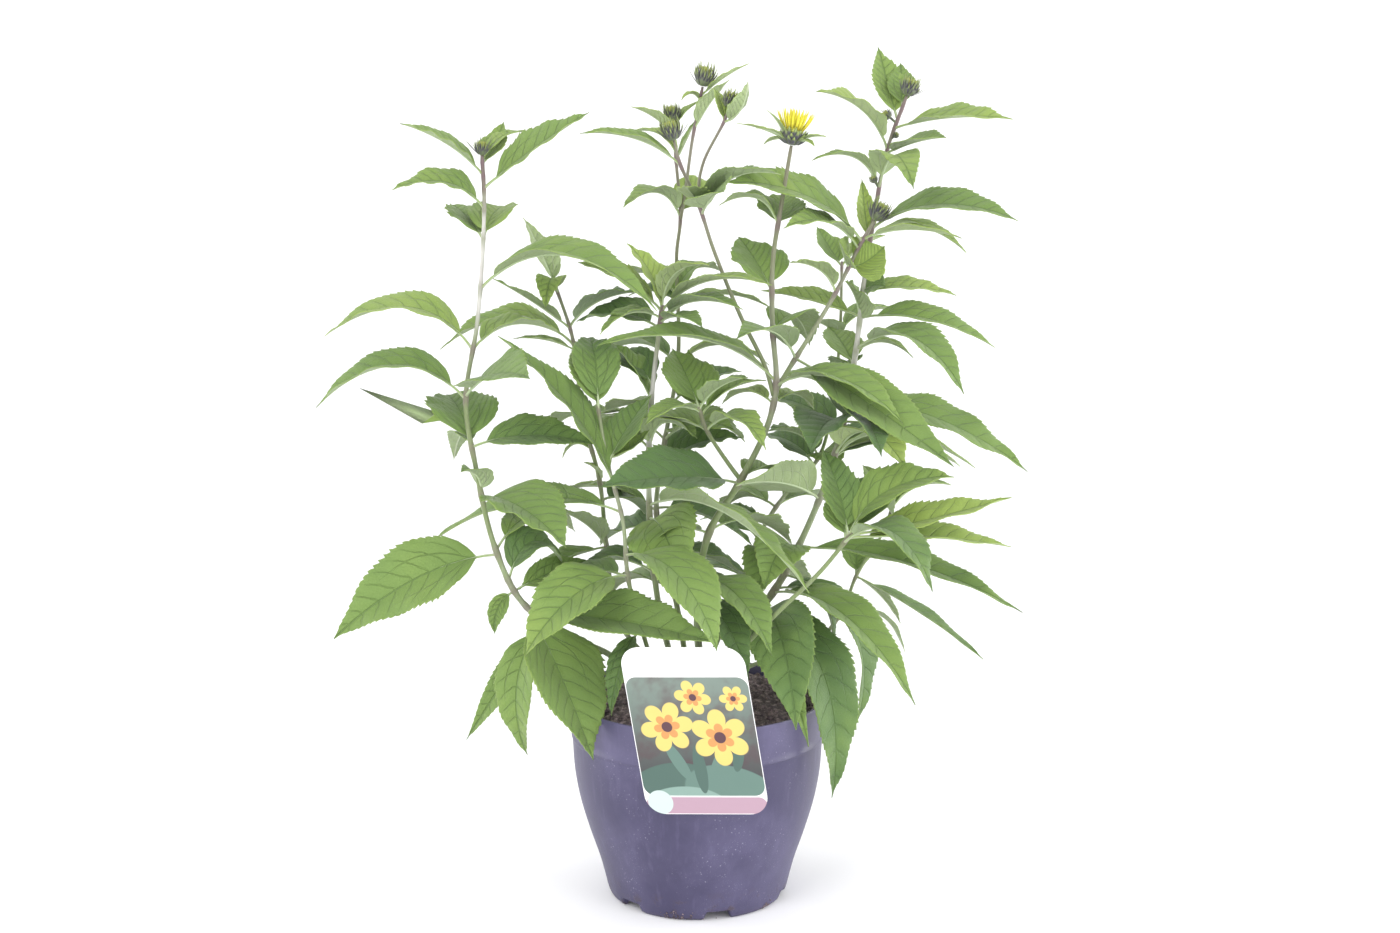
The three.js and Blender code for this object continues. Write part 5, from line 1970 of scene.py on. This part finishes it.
# ------------------------------------------------------------------ studio
@dataclass
class Studio:
    """A pale floor that curves up behind the plant, soft lights and the camera, in metres."""

    paper: Colour = (0.93, 0.93, 0.94)
    world: Colour = (1.0, 1.0, 1.0)
    world_light: float = 1.0
    floor_half: float = 5.0
    floor_end: float = 1.6  # how far back the floor starts to curve up
    floor_bend: float = 1.2  # radius of the curve
    eye: Point = (0.002, -1.5, 0.6)
    target: Point = (0.002, 0.0, 0.334)
    lens: float = 51.96
    sensor: float = 36.0
    lit: Point = (0.0, 0.0, 0.3)  # where every lamp looks
    # name, place, size and power of each lamp
    lamps: tuple[tuple[str, Point, float, float], ...] = (
        ("key", (-1.3, -2.0, 2.2), 1.5, 30.0),
        ("fill", (1.9, -1.6, 1.2), 1.5, 19.0),
        ("left", (-2.3, 0.5, 0.4), 1.4, 22.0),
        ("right", (2.3, 0.4, 0.3), 1.4, 38.0),
        ("front", (0.0, -2.6, 0.35), 1.2, 19.0),
        ("top", (0.1, 0.6, 2.6), 1.8, 5.0),
    )

    def hang(self, name: str, data: bpy.types.ID, place: Point,
             target: Point) -> bpy.types.Object:
        """Puts a lamp or camera at a place and turns it to a target.

        Args:
            name: Name of the object.
            data: The lamp or camera.
            place: Where it hangs.
            target: Where it looks.

        Returns:
            The object.
        """
        held = add_object(name, data)
        held.location = place
        aim = Vector(target) - Vector(place)
        held.rotation_euler = aim.to_track_quat("-Z", "Y").to_euler()
        return held

    def floor(self) -> None:
        """Lays the floor and its curved back."""
        bm = bmesh.new()
        bmesh.ops.create_grid(bm, x_segments=24, y_segments=60, size=self.floor_half)
        for vert in bm.verts:
            over = vert.co.y - self.floor_end
            if over > 0:
                turn = min(over / self.floor_bend, math.pi / 2)
                rest = max(0.0, over - self.floor_bend * math.pi / 2)
                vert.co.y = self.floor_end + self.floor_bend * math.sin(turn)
                vert.co.z = self.floor_bend * (1 - math.cos(turn)) + rest
        for face in bm.faces:
            face.smooth = True
        mesh = bpy.data.meshes.new("studio_floor")
        bm.to_mesh(mesh)
        bm.free()
        mesh.materials.append(PlainFinish("studio_paper", self.paper, 0.9).material())
        add_object("studio_floor", mesh)

    def light(self) -> None:
        """Hangs the soft lights and sets the surrounding light."""
        scene = bpy.context.scene
        scene.world = bpy.data.worlds.new("studio")
        scene.world.use_nodes = True
        back = scene.world.node_tree.nodes["Background"].inputs
        back["Color"].default_value = (*self.world, 1.0)
        back["Strength"].default_value = self.world_light
        scene.view_settings.view_transform = "Standard"
        for name, place, size, power in self.lamps:
            lamp = bpy.data.lights.new(name, "AREA")
            lamp.shape, lamp.size, lamp.energy = "DISK", size, power
            self.hang(name, lamp, place, self.lit)

    def camera(self) -> None:
        """Sets the camera in front of the plant, a little above its middle."""
        lens = bpy.data.cameras.new("camera")
        lens.sensor_fit, lens.sensor_width, lens.lens = "HORIZONTAL", self.sensor, self.lens
        lens.clip_start, lens.clip_end = 0.05, 50.0
        bpy.context.scene.camera = self.hang("camera", lens, self.eye, self.target)


def main() -> None:
    """Builds the plant, its pot and the studio in order."""
    logging.basicConfig(level=logging.INFO, format="%(name)s: %(message)s")
    palette = Palette()
    Pot().build(palette)
    soil = Soil()
    soil.build(palette)
    soil.build_spill(palette)
    Label().build(palette)
    for name, axes in STEMS.items():
        LeafyStem(name, axes, palette).build()
    for name, stem, axis, radius, bracts, needles in BUDS:
        Bud(stem, axis, name=name, nodes=(name,), radius=radius, bracts=bracts,
            needles=needles).build(palette)
    for name, radius, level, stalk, lean in SIDE_BUDS:
        SideBud("stem_right", 0, name=name, radius=radius, bracts=8, level=level, stalk=stalk,
                lean=lean).build(palette)
    bloom = Bloom("stem_main", 0)
    bloom.build_cup(palette)
    bloom.build_rays(palette)
    studio = Studio()
    studio.floor()
    studio.light()
    studio.camera()


if __name__ == "__main__":
    main()
